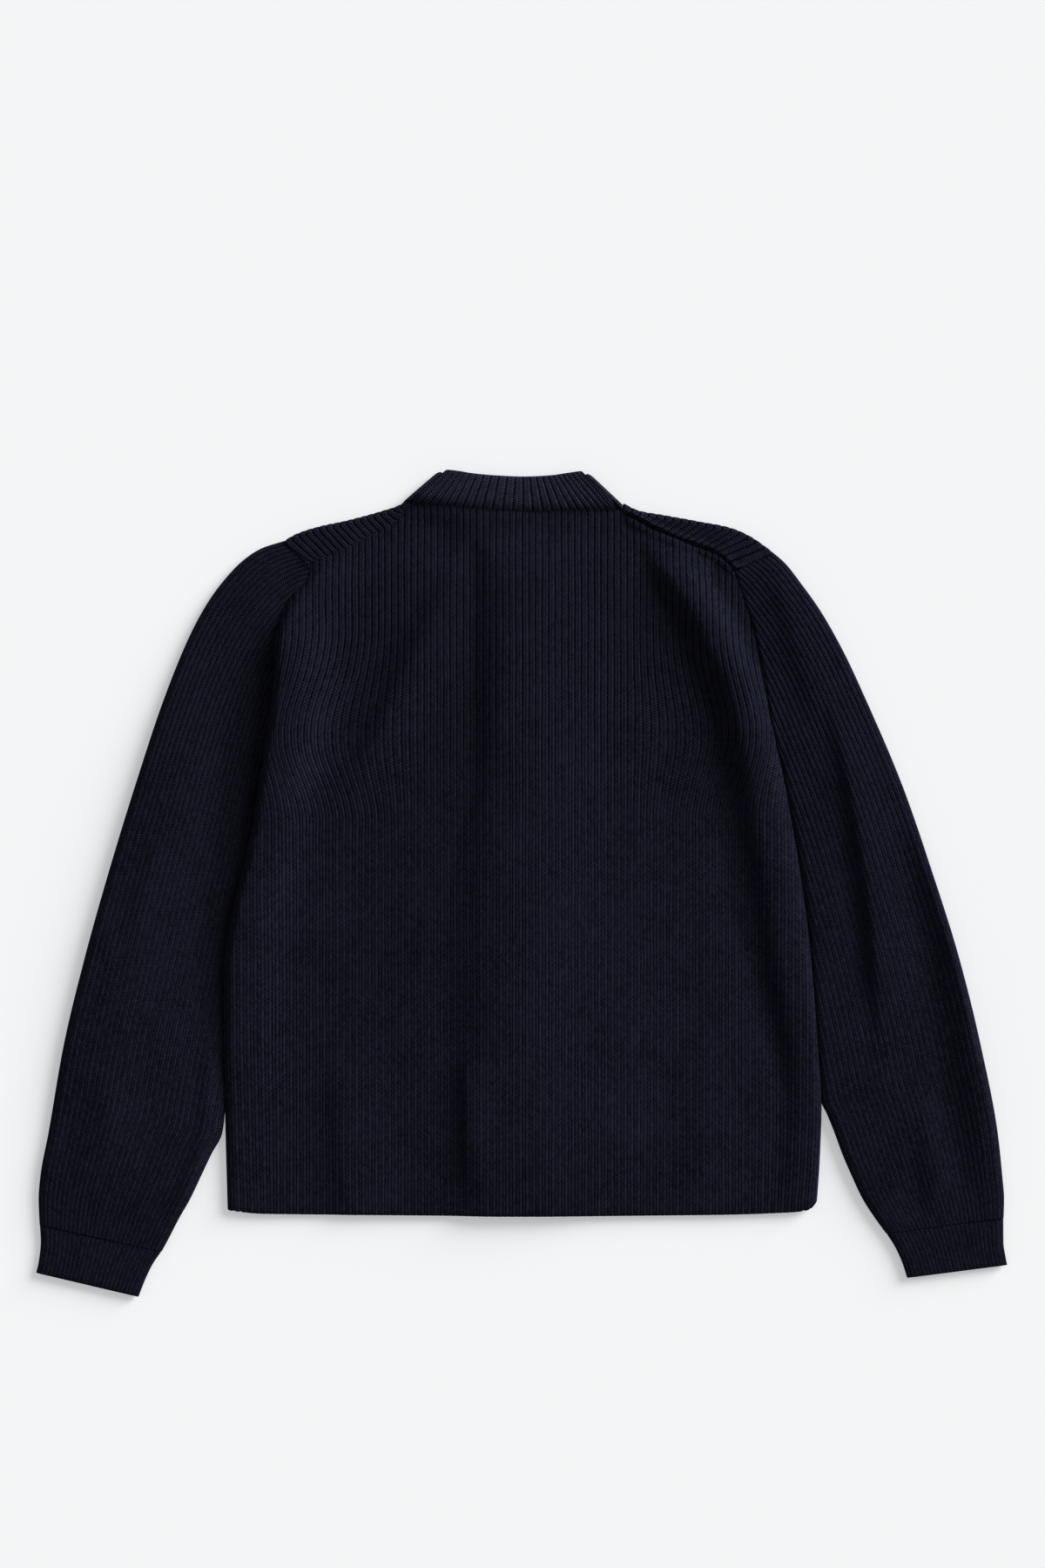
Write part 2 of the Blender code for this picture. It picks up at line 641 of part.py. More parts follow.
def sleeve_inner_line(side):
    """Inner edge of the sleeve, carried on under the back above the underarm."""
    out = -1.0 if side == "left" else 1.0
    heights = np.linspace(UNDERARM_Y - 6.0, -186.0, 16)
    rows = list(SLEEVE_HIDDEN[side])
    rows.append(Place(float(side_edge(UNDERARM_Y, side)) + out * 0.5, UNDERARM_Y))
    rows += [Place(float(side_edge(y, side)) + out * 1.2, y) for y in heights]
    return rows + list(SLEEVE_INNER_TAIL[side])


def sleeve_rungs(side, s):
    """Outer and inner ends of the lines across the sleeve, and the width between them."""
    outer = along(SLEEVE_OUTER[side], s)
    inner = along(sleeve_inner_line(side), s)
    return outer, inner, np.hypot(*np.moveaxis(outer - inner, -1, 0))


def sleeve_opening(side):
    """Where the armhole cuts the sleeve: distance round it from the outer edge, and s."""
    s = np.linspace(0.0, 0.5, 601)
    outer, inner, _ = sleeve_rungs(side, s)
    rung = inner - outer
    sign = 1.0 if side == "right" else -1.0
    around = []
    starts = []
    for layer in ("upper", "lower"):
        line = armhole_line(side, layer, np.linspace(0.0, 1.0, 121))
        away = line[:, None, :] - outer[None, :, :]
        ahead = sign * (rung[:, 0] * away[..., 1] - rung[:, 1] * away[..., 0])
        k = np.argmax(ahead <= 0.0, axis=1)
        before = np.maximum(k - 1, 0)
        rows = np.arange(len(line))
        drop = ahead[rows, before] - ahead[rows, k]
        part = np.where(k > 0, ahead[rows, before] / np.where(drop == 0, 1.0, drop), 0.0)
        at = lerp(s[before], s[k], part)
        start, _, wide = sleeve_rungs(side, at)
        f = np.clip(np.hypot(*(line - start).T) / wide, 0.0, 1.0)
        at = at + TIP_GAP / SLEEVE_RUN * (1.0 - smooth(f * wide / 18.0))
        if layer == "lower":
            f, at, wide = f[::-1], at[::-1], wide[::-1]
        around.append(f * wide if layer == "upper" else (2.0 - f) * wide)
        starts.append(at)
    return np.maximum.accumulate(np.concatenate(around)), np.concatenate(starts)


def sleeve_pitches(side):
    """Rib spacing down the sleeve: ribs run on past the inner edge where it is narrow."""
    s = np.linspace(0.0, 1.0, 401)
    _, _, width = sleeve_rungs(side, s)
    widest = np.argmax(width)
    full = width[widest] / SLEEVE_RIBS
    upper = lerp(UPPER_PITCH, full, smooth(s / s[widest]))
    return s, width, np.where(s < s[widest], upper, width / SLEEVE_RIBS)


def sleeve_starts(side, ribs, under):
    """s at which every column leaves the armhole: the ribs', then the underside's."""
    grid, grid_width, grid_pitch = sleeve_pitches(side)
    around, starts = sleeve_opening(side)
    width = np.interp(starts, grid, grid_width)
    pitch = np.interp(starts, grid, grid_pitch)
    reach = np.maximum(width, SLEEVE_RIBS * pitch)
    rib_start = np.interp(ribs, around / pitch, starts)
    half = len(starts) // 2
    share = ((around - reach) / (2.0 * width - reach))[half:]
    return np.concatenate([rib_start, np.interp(under, share, starts[half:])])


def limb_heights(distance, height, lower, rise, inside):
    """Height on a flattened tube, rounded down to its two folded edges."""
    shown = quarter(distance / EDGE_ROUND)
    if inside:
        upper_z = EDGE_MID + (height - WALL - EDGE_MID) * shown
        lower_z = EDGE_MID + (WALL - EDGE_MID) * shown
    else:
        upper_z = EDGE_MID + (height - EDGE_MID + rise) * shown
        lower_z = EDGE_MID * (1.0 - shown)
    return np.where(lower, lower_z, upper_z)


def limb_points(ends, around, height_of, rise, inside):
    """Points of a flattened tube at distances round it from its outer edge."""
    outer, inner, width = ends
    lower = around > width
    f = np.where(lower, 2.0 - around / width, around / width)
    distance = np.minimum(f, 1.0 - f) * width
    shift = inset(distance, EDGE_INSET) / width if inside else 0.0
    moved = np.where(f < 0.5, f + shift, f - shift)
    plan = lerp(outer, inner, moved[..., None])
    z = limb_heights(distance, height_of(plan), lower, rise, inside)
    return np.concatenate([plan, z[..., None]], -1)


def sleeve_height(side, plan, s, gone):
    """Height of the plain top of a sleeve, puffed a little along its middle."""
    x, y = plan[..., 0], plan[..., 1]
    puff = 1.4 * smooth(s / 0.12) * smooth((1.0 - s) / 0.1)
    seam = 0.9 * (1.0 - smooth(gone / 8.0))
    return FLAT + puff - seam + fold_height(SLEEVE_FOLDS[side], x, y)


def sleeve_rings(side, ribs, inside):
    """Rings of a sleeve, one a row. ribs are whole numbers in the grooves."""
    rows = np.array(SLEEVE_ROWS)
    under = np.array(UNDERSIDE)
    start = sleeve_starts(side, ribs, under)
    s = lerp(start, 1.0, rows[:, None])
    ends = sleeve_rungs(side, s)
    grid, _, grid_pitch = sleeve_pitches(side)
    pitch = np.interp(s, grid, grid_pitch)
    width = ends[2]
    reach = np.maximum(width, SLEEVE_RIBS * pitch)
    around = lerp(reach, 2.0 * width, np.concatenate([np.zeros(len(ribs)), under]))
    around[:, :len(ribs)] = ribs * pitch[:, :len(ribs)]
    rise = np.concatenate([RIB_RISE * 2.0 * np.abs(ribs - np.round(ribs)), 0.0 * under])
    gone = SLEEVE_RUN * (s - start)
    points = limb_points(
        ends, around, lambda plan: sleeve_height(side, plan, s, gone), rise, inside
    )
    keys = np.concatenate([0.5 * ribs / SLEEVE_RIBS, 0.5 + 0.5 * under])
    return [(ring, keys) for ring in points]


def build_sleeve(side, look):
    outer = sleeve_rings(side, np.arange(0.0, SLEEVE_RIBS + 0.5, 0.5), False)
    inner = sleeve_rings(side, np.arange(0.0, SLEEVE_RIBS + 1.0, 2.0), True)
    return tube_from_rings("sleeve_" + side, outer, inner, look)


def cuff_rings(side, ribs, inside):
    """Rings of a cuff, whose two ends are straight."""
    under = np.array(UNDERSIDE)
    rings = []
    keys = np.concatenate([0.5 * ribs / CUFF_RIBS, 0.5 + 0.5 * under])
    rise = np.concatenate([RIB_RISE * 2.0 * np.abs(ribs - np.round(ribs)), 0.0 * under])
    for s, level in ((0.0, FLAT - 0.8), (0.15, FLAT), (0.88, FLAT), (1.0, FLAT - 0.7)):
        at = np.full(len(keys), s)
        outer = along(CUFF_OUTER[side], at)
        inner = along(CUFF_INNER[side], at)
        width = np.hypot(*(outer - inner).T)
        around = 2.0 * width * keys
        ends = (outer, inner, width)
        rings.append((limb_points(ends, around, lambda plan: level, rise, inside), keys))
    return rings


def build_cuff(side, look):
    outer = cuff_rings(side, np.arange(0.0, CUFF_RIBS + 0.5, 0.5), False)
    inner = cuff_rings(side, np.arange(0.0, CUFF_RIBS + 1.0, 2.0), True)
    return tube_from_rings("cuff_" + side, outer, inner, look)


def neck_edges(rows, parts):
    """Seam edge and free edge of the neckband at fractions along one stretch."""
    place = column_of(rows, "part")
    seam = [curve(place, column_of(rows, name), parts) for name in ("seam_x", "seam_y")]
    free = [curve(place, column_of(rows, name), parts) for name in ("free_x", "free_y")]
    return np.stack(seam, -1), np.stack(free, -1)


def neck_front_columns(side, parts):
    """Columns of the neckband under the back, on the table, climbing to the band."""
    columns = []
    seam, free = neck_edges(NECK_FRONT[side], parts)
    for a, b in zip(seam, free):
        plan = lerp(a, b, np.linspace(0.0, 1.0, 4)[:, None])
        lift = front_lift(plan[:, 0], plan[:, 1], side)
        columns.append((
            np.column_stack([plan, lift]),
            np.column_stack([plan, lift + WALL]),
        ))
    return columns


def neck_turn_columns(seam, free, outward):
    """Columns round the fold at one side of the neck."""
    columns = []
    plan = lerp(seam, free, np.linspace(0.0, 1.0, 4)[:, None])
    full = FLAT + 0.4
    for turn in (0, 45, 90, 135, 180):
        angle = math.radians(turn)
        out = plan + outward * FOLD_REACH * math.sin(angle)
        into = plan + outward * (FOLD_REACH - WALL) * math.sin(angle)
        out_z = np.full(4, 0.5 * full * (1.0 - math.cos(angle)))
        in_z = np.full(4, 0.5 * full - (0.5 * full - WALL) * math.cos(angle))
        columns.append((np.column_stack([out, out_z]), np.column_stack([into, in_z])))
    return columns


def neck_back_columns(count):
    """Ribbed columns of the neckband over the back of the neck."""
    columns = []
    parts = np.linspace(0.0, 1.0, count + 2)[1:-1]
    seam, free = neck_edges(NECK_BACK, parts)
    for k, (a, b) in enumerate(zip(seam, free)):
        plan = lerp(a, b, np.linspace(0.0, 1.0, 4)[:, None])
        rib = RIB_RISE * (k % 2)
        height = FLAT + 0.4 + np.array([-0.6, 0.2, 0.3, -0.5])
        columns.append((
            np.column_stack([plan, height + rib]),
            np.column_stack([plan, np.full(4, FLAT + 0.4 - WALL)]),
        ))
    return columns


def build_neckband(look):
    front = np.array([1.0, 0.9, 0.8, 0.7, 0.6, 0.5, 0.4, 0.3, 0.2, 0.1])
    columns = neck_front_columns("left", front)
    for side in ("left", "right"):
        seam, free = neck_edges(NECK_FRONT[side], np.array([0.0]))
        along_fold = (free[0] - seam[0]) / np.hypot(*(free[0] - seam[0]))
        turn = 1.0 if side == "left" else -1.0
        outward = np.array([-along_fold[1], along_fold[0]]) * turn
        turned = neck_turn_columns(seam[0], free[0], outward)
        if side == "left":
            columns += turned + neck_back_columns(2 * NECK_RIBS - 1)
        else:
            columns += turned[::-1]
    columns += neck_front_columns("right", front[::-1])
    outer = np.concatenate([column[0] for column in columns])
    inner = np.concatenate([column[1] for column in columns])
    faces = []
    for k in range(len(columns) - 1):
        line_a = list(range(4 * k, 4 * k + 4))
        line_b = list(range(4 * k + 4, 4 * k + 8))
        faces += bridge(line_a, line_b, range(4), range(4))
    return shell_from_faces("neckband", outer, inner, faces, look)


def build_front_band(side, look):
    """A straight doubled band down the front edge. The two lie on each other."""
    low = INNER_BAND_Z if side == "left" else OUTER_BAND_Z
    points = []
    rows = []
    for x in (BAND_CENTRE - BAND_HALF, BAND_CENTRE, BAND_CENTRE + BAND_HALF):
        bottom = float(height_of_line(HEM, x)) + 1.0
        rows.append(np.array([(x, y, 0.0) for y in np.linspace(bottom, BAND_TOP, 12)]))
    for level in (low, low + WALL):
        for row in rows:
            points.extend(row + np.array([0.0, 0.0, level]))
    count = len(points) // 2
    faces = []
    for k in range(2):
        line_a = list(range(12 * k, 12 * k + 12))
        line_b = list(range(12 * k + 12, 12 * k + 24))
        faces += bridge(line_a, line_b, range(12), range(12))
    return shell_from_faces("band_" + side, points[:count], points[count:], faces, look)


def build_button(index, look):
    """A plain round button, chamfered, lying between the outer band and the table."""
    sides = 16
    radius = BUTTON_ACROSS / 2
    points = []
    for z, r in ((0.0, radius - 1.0), (0.7, radius), (BUTTON_THICK, radius - 0.4)):
        for k in range(sides):
            angle = 2 * math.pi * k / sides
            x = BAND_CENTRE + r * math.cos(angle)
            points.append((x, BUTTON_ROWS[index] + r * math.sin(angle), z))
    faces = [tuple(range(sides)), tuple(range(2 * sides, 3 * sides))]
    for ring in range(2):
        for k in range(sides):
            a = ring * sides + k
            b = ring * sides + (k + 1) % sides
            faces.append((a, b, b + sides, a + sides))
    return add_object(f"button_{index + 1}", points, faces, look)


def clear_scene():
    for thing in list(bpy.data.objects):
        bpy.data.objects.remove(thing)


def main():
    clear_scene()
    knit = material("navy_rib_knit", (0.012, 0.015, 0.035), 0.95)
    button = material("dark_button", (0.015, 0.015, 0.02), 0.35)
    build_back(knit)
    for side in ("left", "right"):
        build_front(side, knit)
        build_front_band(side, knit)
        build_sleeve(side, knit)
        build_cuff(side, knit)
    build_neckband(knit)
    for index in range(len(BUTTON_ROWS)):
        build_button(index, button)


main()
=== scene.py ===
"""Looks of the ribbed cardigan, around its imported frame.

All sizes are millimetres, and only the calls that talk to Blender turn them into metres.
X runs across the cardigan, Y from hem to neck, Z up from the table, as in the frame.
"Left" is the side at -X. The cardigan lies flat and face down, so its back shows.
"""

import math
from collections import namedtuple
from functools import partial

import bmesh
import bpy
import numpy as np
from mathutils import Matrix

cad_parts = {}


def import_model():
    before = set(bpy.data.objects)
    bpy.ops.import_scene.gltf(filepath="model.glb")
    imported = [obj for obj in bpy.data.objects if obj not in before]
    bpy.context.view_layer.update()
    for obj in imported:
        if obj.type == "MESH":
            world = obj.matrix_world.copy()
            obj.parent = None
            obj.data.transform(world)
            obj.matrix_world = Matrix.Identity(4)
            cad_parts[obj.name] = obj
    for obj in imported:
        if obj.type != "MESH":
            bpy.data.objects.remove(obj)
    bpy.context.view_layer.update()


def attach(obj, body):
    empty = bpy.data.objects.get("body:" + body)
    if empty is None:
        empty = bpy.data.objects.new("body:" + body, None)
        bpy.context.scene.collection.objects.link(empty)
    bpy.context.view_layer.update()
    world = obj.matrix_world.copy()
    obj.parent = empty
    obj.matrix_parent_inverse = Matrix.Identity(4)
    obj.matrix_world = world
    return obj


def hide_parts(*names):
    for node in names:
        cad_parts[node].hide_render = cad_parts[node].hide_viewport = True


MM = 0.001
SEED = 7

# Cloth
WALL = 2.6            # one pressed layer of the knit, without its ribs
RIB_RISE = 1.0        # how far a rib stands above the groove beside it
AIR = 1.0             # slack between the front layer and the back layer
GAP = 0.4             # left open between two pieces at a seam
FLAT = 2 * WALL + AIR  # top of the back's plain wall where it lies flat
FOLD_REACH = 3.6      # plan radius of the fold over the shoulders and at the neck
COURSE = 2.25         # height of one row of stitches
FIRST_ROW_Y = -286.0  # where the rows of stitches are counted from
SAME_PLACE = 0.004    # points this close are one

# Rib counts, as in the solids
BACK_RIBS = 90
SLEEVE_RIBS = 30
CUFF_RIBS = 26
NECK_RIBS = 26
SHOULDER_RIBS = 18

# Rib spacing where ribs aren't counted
FRONT_PITCH = 5.6
BAND_PITCH = 3.5
NECK_TURN_PITCH = 6.5
UPPER_PITCH = 4.3     # at the top of a sleeve

# Closed sides
EDGE_MID = 3.5        # height at which the back meets the front on a side fold
EDGE_ROUND = 8.0      # distance over which a folded side rounds off
EDGE_INSET = 2.4      # thickness of the cloth seen in plan at a folded side
UNDERARM_Y = 115.0    # where the folded side ends and the armhole begins

# Front closure
BAND_CENTRE = -6.5
BAND_HALF = 17.5
BAND_TOP = 277.0
BUTTON_THICK = 2.2
BUTTON_ROWS = (-262.0, -164.0, -66.0, 32.0, 130.0, 228.0)
OUTER_BAND_Z = BUTTON_THICK + 0.3
INNER_BAND_Z = OUTER_BAND_Z + WALL + 0.3
BACK_OVER_BANDS = INNER_BAND_Z + WALL + 0.8
BAND_Z = {"left": INNER_BAND_Z, "right": OUTER_BAND_Z}

# A button's rings, from its face on the table to its top: radius and height
BUTTON_PROFILE = (
    (5.2, 0.35), (6.2, 0.1), (7.4, 0.0), (8.4, 0.3), (9.0, 1.1), (8.5, 1.9), (7.6, 2.2),
)
BUTTON_SIDES = 48

# Broad forms of the back
BAND_CREST = 18.5     # half the width of the level top over the bands
LEFT_FLANKS = (60.0, 36.0)  # where the slope to the left of it ends, low down and high up
RIGHT_FLANK = 88.0
DOME_RISE = 7.0       # the broad swell of the whole back
DOME_X = -10.0
DOME_SPREAD = 105.0
CORD_RISE = 3.4       # the two cords along the right shoulder seam
CORD_SPREAD = 1.7
CORD_PLACES = (2.4, -3.6)  # their distances below the seam
RELIEF = 0.9          # rise of the low uneven swells
BACK_UNDER = 1.6      # how far the back's top edge reaches under the neckband and strips

# Sleeves, cuffs, fronts and neckband
TIP_GAP = 0.6         # how far the sleeve starts below the tip of the shoulder
ARMHOLE_GAP = -0.3    # the sleeve's edge lies just under the armhole's
TUCK = 0.8            # how far the sleeve's edge reaches under the side of the body
UNDERARM_TUCKS = ((6.0, 3.0), (0.0, 2.6), (-4.0, 2.0))  # height over the underarm, and tuck
SLEEVE_RUN = 640.0    # length of a sleeve down its outer edge
CUFF_RUN = 42.0       # length of a cuff
FRONT_RUN = 560.0     # length of a front from its hem to the fold over the shoulder
NECK_HIGH = 36.0      # height of the neckband from its seam to its free edge
NECK_TOP = FLAT + 0.4  # level of the neckband, without its crown

# Share of a rib's rise, and how clear its stitches are, at the hem, sleeve top and cuff
HEM_RIB, HEM_CLEAR = 0.6, 0.42
SLEEVE_RIB, SLEEVE_CLEAR = 0.9, 0.8
CUFF_RIB, CUFF_CLEAR = 0.45, 0.3

# Where the ribs' points lie, as fractions of a rib from one groove to the next
COARSE_RIB = (0.0, 0.14, 0.32, 0.5, 0.68, 0.86)
FINE_RIB = (0.0, 0.09, 0.22, 0.38, 0.5, 0.62, 0.78, 0.91)

# Camera and light
VIEW_CENTRE = (0.75, 85.5)
VIEW_HIGH = 1350.0    # what the picture covers from bottom to top
CAMERA_ABOVE = 3000.0
AMBIENT = 0.42        # strength of the even light from all round
KEY_ENERGY = 5.7      # strength of the one broad light
KEY_SOFTNESS = 34.0   # its width, in degrees
KEY_TILT = 68.0       # how far from straight above it stands, in degrees
KEY_TURN = 36.0       # its direction, in degrees from +X towards +Y
FLOOR_HALF = 8000.0
FLOOR_DROP = 0.4      # how far the floor lies under the cloth
FLOOR_TONE = 0.42
FLOOR_GLOW = 0.48     # keeps the shadows on the floor as pale as in the photo
TONE_GAMMA = 0.72     # the deep shadows of the camera that took the picture

# Deepest and palest tone of each material. The neckband's pair is the wool's made paler: painted
# light.
# the wool's deep tone goes where the stitches are low, as painted shade in the grooves, and on darker
# random legs
WOOL_TONES = ((0.0026, 0.0029, 0.0086), (0.0460, 0.0480, 0.0790))
# a paler copy of the wool's tones: painted light on the neckband, which faces the light
LIT_NECK_TONES = ((0.0050, 0.0054, 0.0140), (0.0670, 0.0700, 0.1060))
HORN_TONES = ((0.006, 0.006, 0.009), (0.03, 0.026, 0.026))

# Outlines: the hem, the side edges with their armholes, the shoulders, sleeves and cuffs
Place = namedtuple("Place", "x y")
Edge = namedtuple("Edge", "y left right")


def table(kind, rows):
    """A table whose rows have named values."""
    return [kind(*row) for row in rows]


def both(kind, left, right):
    """One table for each side."""
    return {"left": table(kind, left), "right": table(kind, right)}


HEM = table(Place, (
    (-253, -281), (-223, -284), (-133, -285), (17, -286), (167, -285), (227, -283), (247, -280.5),
    (253.5, -274),
))
SIDES = table(Edge, (
    (-281, -252.8, 253.4), (-236, -254.1, 256.5), (-190, -255.3, 258), (-129, -256.5, 254.4),
    (-71, -256.2, 250), (-46, -252.8, 247.8), (-21, -248.8, 244.8), (16, -238.8, 239.5),
    (58, -230.6, 232.2), (88, -226, 226.5), (115, -222, 220.6), (149, -216, 213.4),
    (178, -213.6, 209), (203, -212.6, 203.8), (226, -209, 198.4), (245, -200, 191.6),
    (260, -186, 186.2), (269, -182.8, 183.6), (276, -182, 183),
))
FRONT_ARMHOLE = table(Edge, (
    (178, -213.6, 209), (203, -210.6, 207.6), (226, -207.6, 207.4), (245, -205.2, 208.6),
    (262, -203.8, 210.6), (286, -203, 214.5), (295, -203.2, 214.5),
))
BACK_TOP = table(Place, (
    (-182, 275.4), (-168, 280.5), (-137, 294.8), (-112.5, 308.2), (-93, 325), (-75, 324.6),
    (-59, 322.5), (-29, 319.5), (1, 318), (38, 318.7), (70, 319.3), (85, 318.2), (118, 303),
    (142, 293.2), (167, 283.5), (179, 274.5), (183.2, 268.5),
))
SILHOUETTE = both(Place, (
    (-203.2, 294.8), (-194, 300), (-179, 305.2), (-149, 312), (-119, 320.2), (-104, 325.6),
    (-98, 331),
), (
    (87.5, 326.6), (100, 320.3), (121, 316.5), (151, 311.2), (181, 305), (196, 298.4),
    (214.5, 285.8),
))
SLEEVE_OUTER = both(Place, (
    (-203.2, 294.8), (-224, 288), (-239, 278.2), (-254, 263), (-269, 243), (-284, 216),
    (-307, 160.5), (-332, 85.5), (-355, 10.5), (-376, -64.5), (-394, -139.5), (-407, -214.5),
    (-414, -252), (-415.5, -271), (-414.6, -293.5),
), (
    (214.5, 285.8), (226, 276), (241, 257), (256, 236), (277.5, 198), (295, 160.5), (327, 85.5),
    (353, 10.5), (376.5, -64.5), (395, -139.5), (409.5, -214.5), (413.5, -252), (415, -271),
    (414.6, -287.5),
))
SLEEVE_INNER_TAIL = both(Place, (
    (-257.4, -214), (-267, -233), (-276, -252), (-285, -271), (-295.5, -289.5), (-305, -308),
    (-309.8, -316.5),
), (
    (262.5, -198), (269.2, -214.5), (276, -233), (284.2, -252), (293.2, -271), (305.2, -289.5),
    (313.5, -300.8),
))
CUFF_OUTER = both(Place, (
    (-414.3, -293.6), (-413.6, -308), (-415.5, -326), (-417.6, -334.6),
), (
    (414.3, -287.6), (414.4, -308), (416.4, -322), (417.6, -327.9),
))
CUFF_INNER = both(Place, (
    (-310.2, -316.7), (-317.2, -327), (-324, -341), (-329.6, -355.3),
), (
    (314, -301), (321.5, -313), (327.8, -327), (331.6, -339),
))

# Neckband: its seam and its free edge, over the back and then round each front
BandEdge = namedtuple("BandEdge", "part seam_x seam_y free_x free_y")
NECK_BACK = table(BandEdge, (
    (0, -94.6, 329.6, -68, 352.6), (0.05, -91, 327.2, -64, 355.6), (0.14, -75, 325.4, -54, 354.6),
    (0.23, -59, 323.2, -44, 352.9), (0.37, -29, 320.2, -22, 350.8), (0.5, 1, 318.7, 1, 349.8),
    (0.67, 38, 319.4, 24, 350.8), (0.83, 66, 320, 40, 353), (0.94, 80, 320.4, 51, 354.4),
    (1, 82.6, 324.6, 54.6, 351),
))
NECK_FRONT = both(BandEdge, (
    (0, -94.6, 329.6, -68, 352.6), (0.2, -93, 314, -60, 322), (0.4, -87, 295, -55, 305),
    (0.6, -75, 273, -47, 289), (0.75, -57.6, 256.2, -38, 281), (0.9, -40, 247.6, -31, 277.8),
    (1, -24.6, 244.2, -24.6, 277),
), (
    (0, 82.6, 324.6, 54.6, 351), (0.2, 81.6, 311, 49, 320), (0.4, 75, 292, 43, 303),
    (0.6, 62.6, 271, 35, 288), (0.75, 45.2, 255.4, 26, 280.6), (0.9, 27.4, 247.2, 18, 277.6),
    (1, 11.6, 244.2, 11.6, 277),
))
NECKLINE = both(Place, (
    (-98, 327.4), (-94.8, 315), (-88.4, 294.2), (-76, 271.8), (-58.2, 254.8), (-40, 246.2),
    (-24.4, 242.8),
), (
    (11.4, 242.8), (27.4, 245.8), (46, 254), (63.8, 270), (76.4, 291.4), (83.6, 311.6), (87.5, 323),
))

# Folds: the crest's X at three heights, its rise, and how far it spreads to each side
Fold = namedtuple("Fold", "name low_y low_x mid_y mid_x high_y high_x rise left right")
BODY_FOLDS = table(Fold, (
    ("right side hollow", -80, 192, 30, 176, 150, 168, -2.2, 14, 14),
    ("low diagonal hollow", -200, 232, -110, 210, -20, 186, -2.6, 13, 12),
    ("left chest ridge", 60, -152, 140, -118, 290, -44, 5.4, 12, 30),
    ("left chest hollow", 70, -182, 150, -150, 240, -96, -1.8, 14, 14),
    ("placket ridge", 40, -16, 170, -15, 330, -15, 1.8, 8, 34),
    ("low placket ridge", -250, -14, -60, -14, 130, -14, 0.6, 10, 34),
    ("short hem crease", -280, -44, -195, -46, -130, -47, 3.2, 6, 14),
    ("left hem swell", -320, -146, -225, -152, -120, -158, 3.4, 13, 34),
    ("middle hem swell", -320, 60, -200, 74, -60, 92, 3, 26, 34),
    ("right hem swell", -300, 160, -230, 156, -120, 150, 2.4, 22, 26),
    ("soft line above the hem", -60, -196, -28, -200, 4, -204, 1.6, 40, 40),
    ("dip under the neckband", 262, -56, 298, -74, 330, -84, -2.8, 34, 30),
    ("dip under the right shoulder", 262, 120, 292, 130, 318, 126, -2.2, 34, 34),
))
SLEEVE_FOLDS = both(Fold, (
    ("high inner side", -330, -350, -80, -328, 290, -262, 5.4, 76, 44),
    ("tucked under the body", -230, -264, 20, -247, 245, -216, -6.4, 30, 33),
    ("inner edge ridge", -320, -318, -200, -270, -80, -268, 2.2, 8, 7),
    ("lower swell", -320, -362, -200, -356, -60, -340, 2.4, 24, 24),
    ("elbow crease", -60, -338, 0, -322, 60, -306, 1.8, 9, 12),
    ("seam at the shoulder", 264, -176, 284, -191, 304, -211, 2.2, 3, 3),
), (
    ("upper arm ridge", -170, 314, -10, 299, 190, 262, 6, 8, 26),
    ("trough beside it", -140, 300, -20, 284, 80, 266, -1.8, 10, 10),
    ("outer trough", -300, 378, -110, 356, 90, 316, -1.8, 13, 13),
    ("outer ridge", -320, 410, -110, 384, 110, 334, 7, 16, 26),
    ("spot above the cuff", -296, 330, -266, 338, -236, 344, -2.4, 12, 12),
    ("lower swell", -300, 356, -236, 352, -170, 346, 2.4, 12, 18),
    ("cap ridge", 120, 262, 200, 240, 290, 212, 3.4, 12, 18),
    ("seam at the shoulder", 256, 177, 276, 194, 296, 220, 2, 3, 3),
))

# Swells along the body's side edges: how far in the crest lies, and its rise
Swell = namedtuple("Swell", "y inside rise")
SIDE_SWELLS = both(Swell, (
    (-290, 11, 0.6), (-220, 11, 2.6), (-100, 10, 6.4), (60, 9, 13), (150, 9, 15.4), (196, 10, 15.4),
    (240, 14, 9), (276, 16, 0.5),
), (
    (-290, 9, 0.8), (-151, 11, 5), (-52, 20, 7.5), (60, 23, 9.5), (107, 22, 13), (154, 23, 15.5),
    (202, 34, 15.8), (252, 46, 13.5), (304, 66, 0.5),
))
SWELL_POWER = 3.2  # the higher, the flatter the crest
SWELL_SPREAD = {"left": (11.0, 34.0), "right": (19.0, 19.0)}

# The sleeve's inner edge carried on under the back, above the underarm
SLEEVE_HIDDEN = both(Place, (
    (-122, 221), (-172, 172), (-208, 136),
), (
    (118, 233), (170, 184), (204, 145),
))

# What differs between the two sides: the sign of X towards the middle, and three corners
INWARDS = {"left": 1.0, "right": -1.0}
SHOULDER_TIP = {"left": SILHOUETTE["left"][0], "right": SILHOUETTE["right"][-1]}
NECK_CORNER = {"left": NECKLINE["left"][0], "right": NECKLINE["right"][-1]}
BACK_CORNER = {"left": BACK_TOP[0], "right": BACK_TOP[-1]}


def smooth(t):
    """0 below t = 0, 1 above t = 1, and an S-shaped rise between."""
    t = np.clip(t, 0.0, 1.0)
    return t * t * (3.0 - 2.0 * t)


def quarter(t):
    """Rises like a quarter of a circle, from 0 at t = 0 to 1 at t = 1."""
    t = np.clip(t, 0.0, 1.0)
    return np.sqrt(1.0 - (1.0 - t) ** 2)


def lerp(a, b, t):
    return a + (b - a) * t


def hump(x, middle, spread):
    """1 at the middle, falling away on both sides."""
    return np.exp(-(((x - middle) / spread) ** 2))


def triple(a, b, c=1.0):
    """Joins three values of each point, such as X, Y and Z, or rib, row and clearness."""
    return np.stack(np.broadcast_arrays(a, b, c), -1)


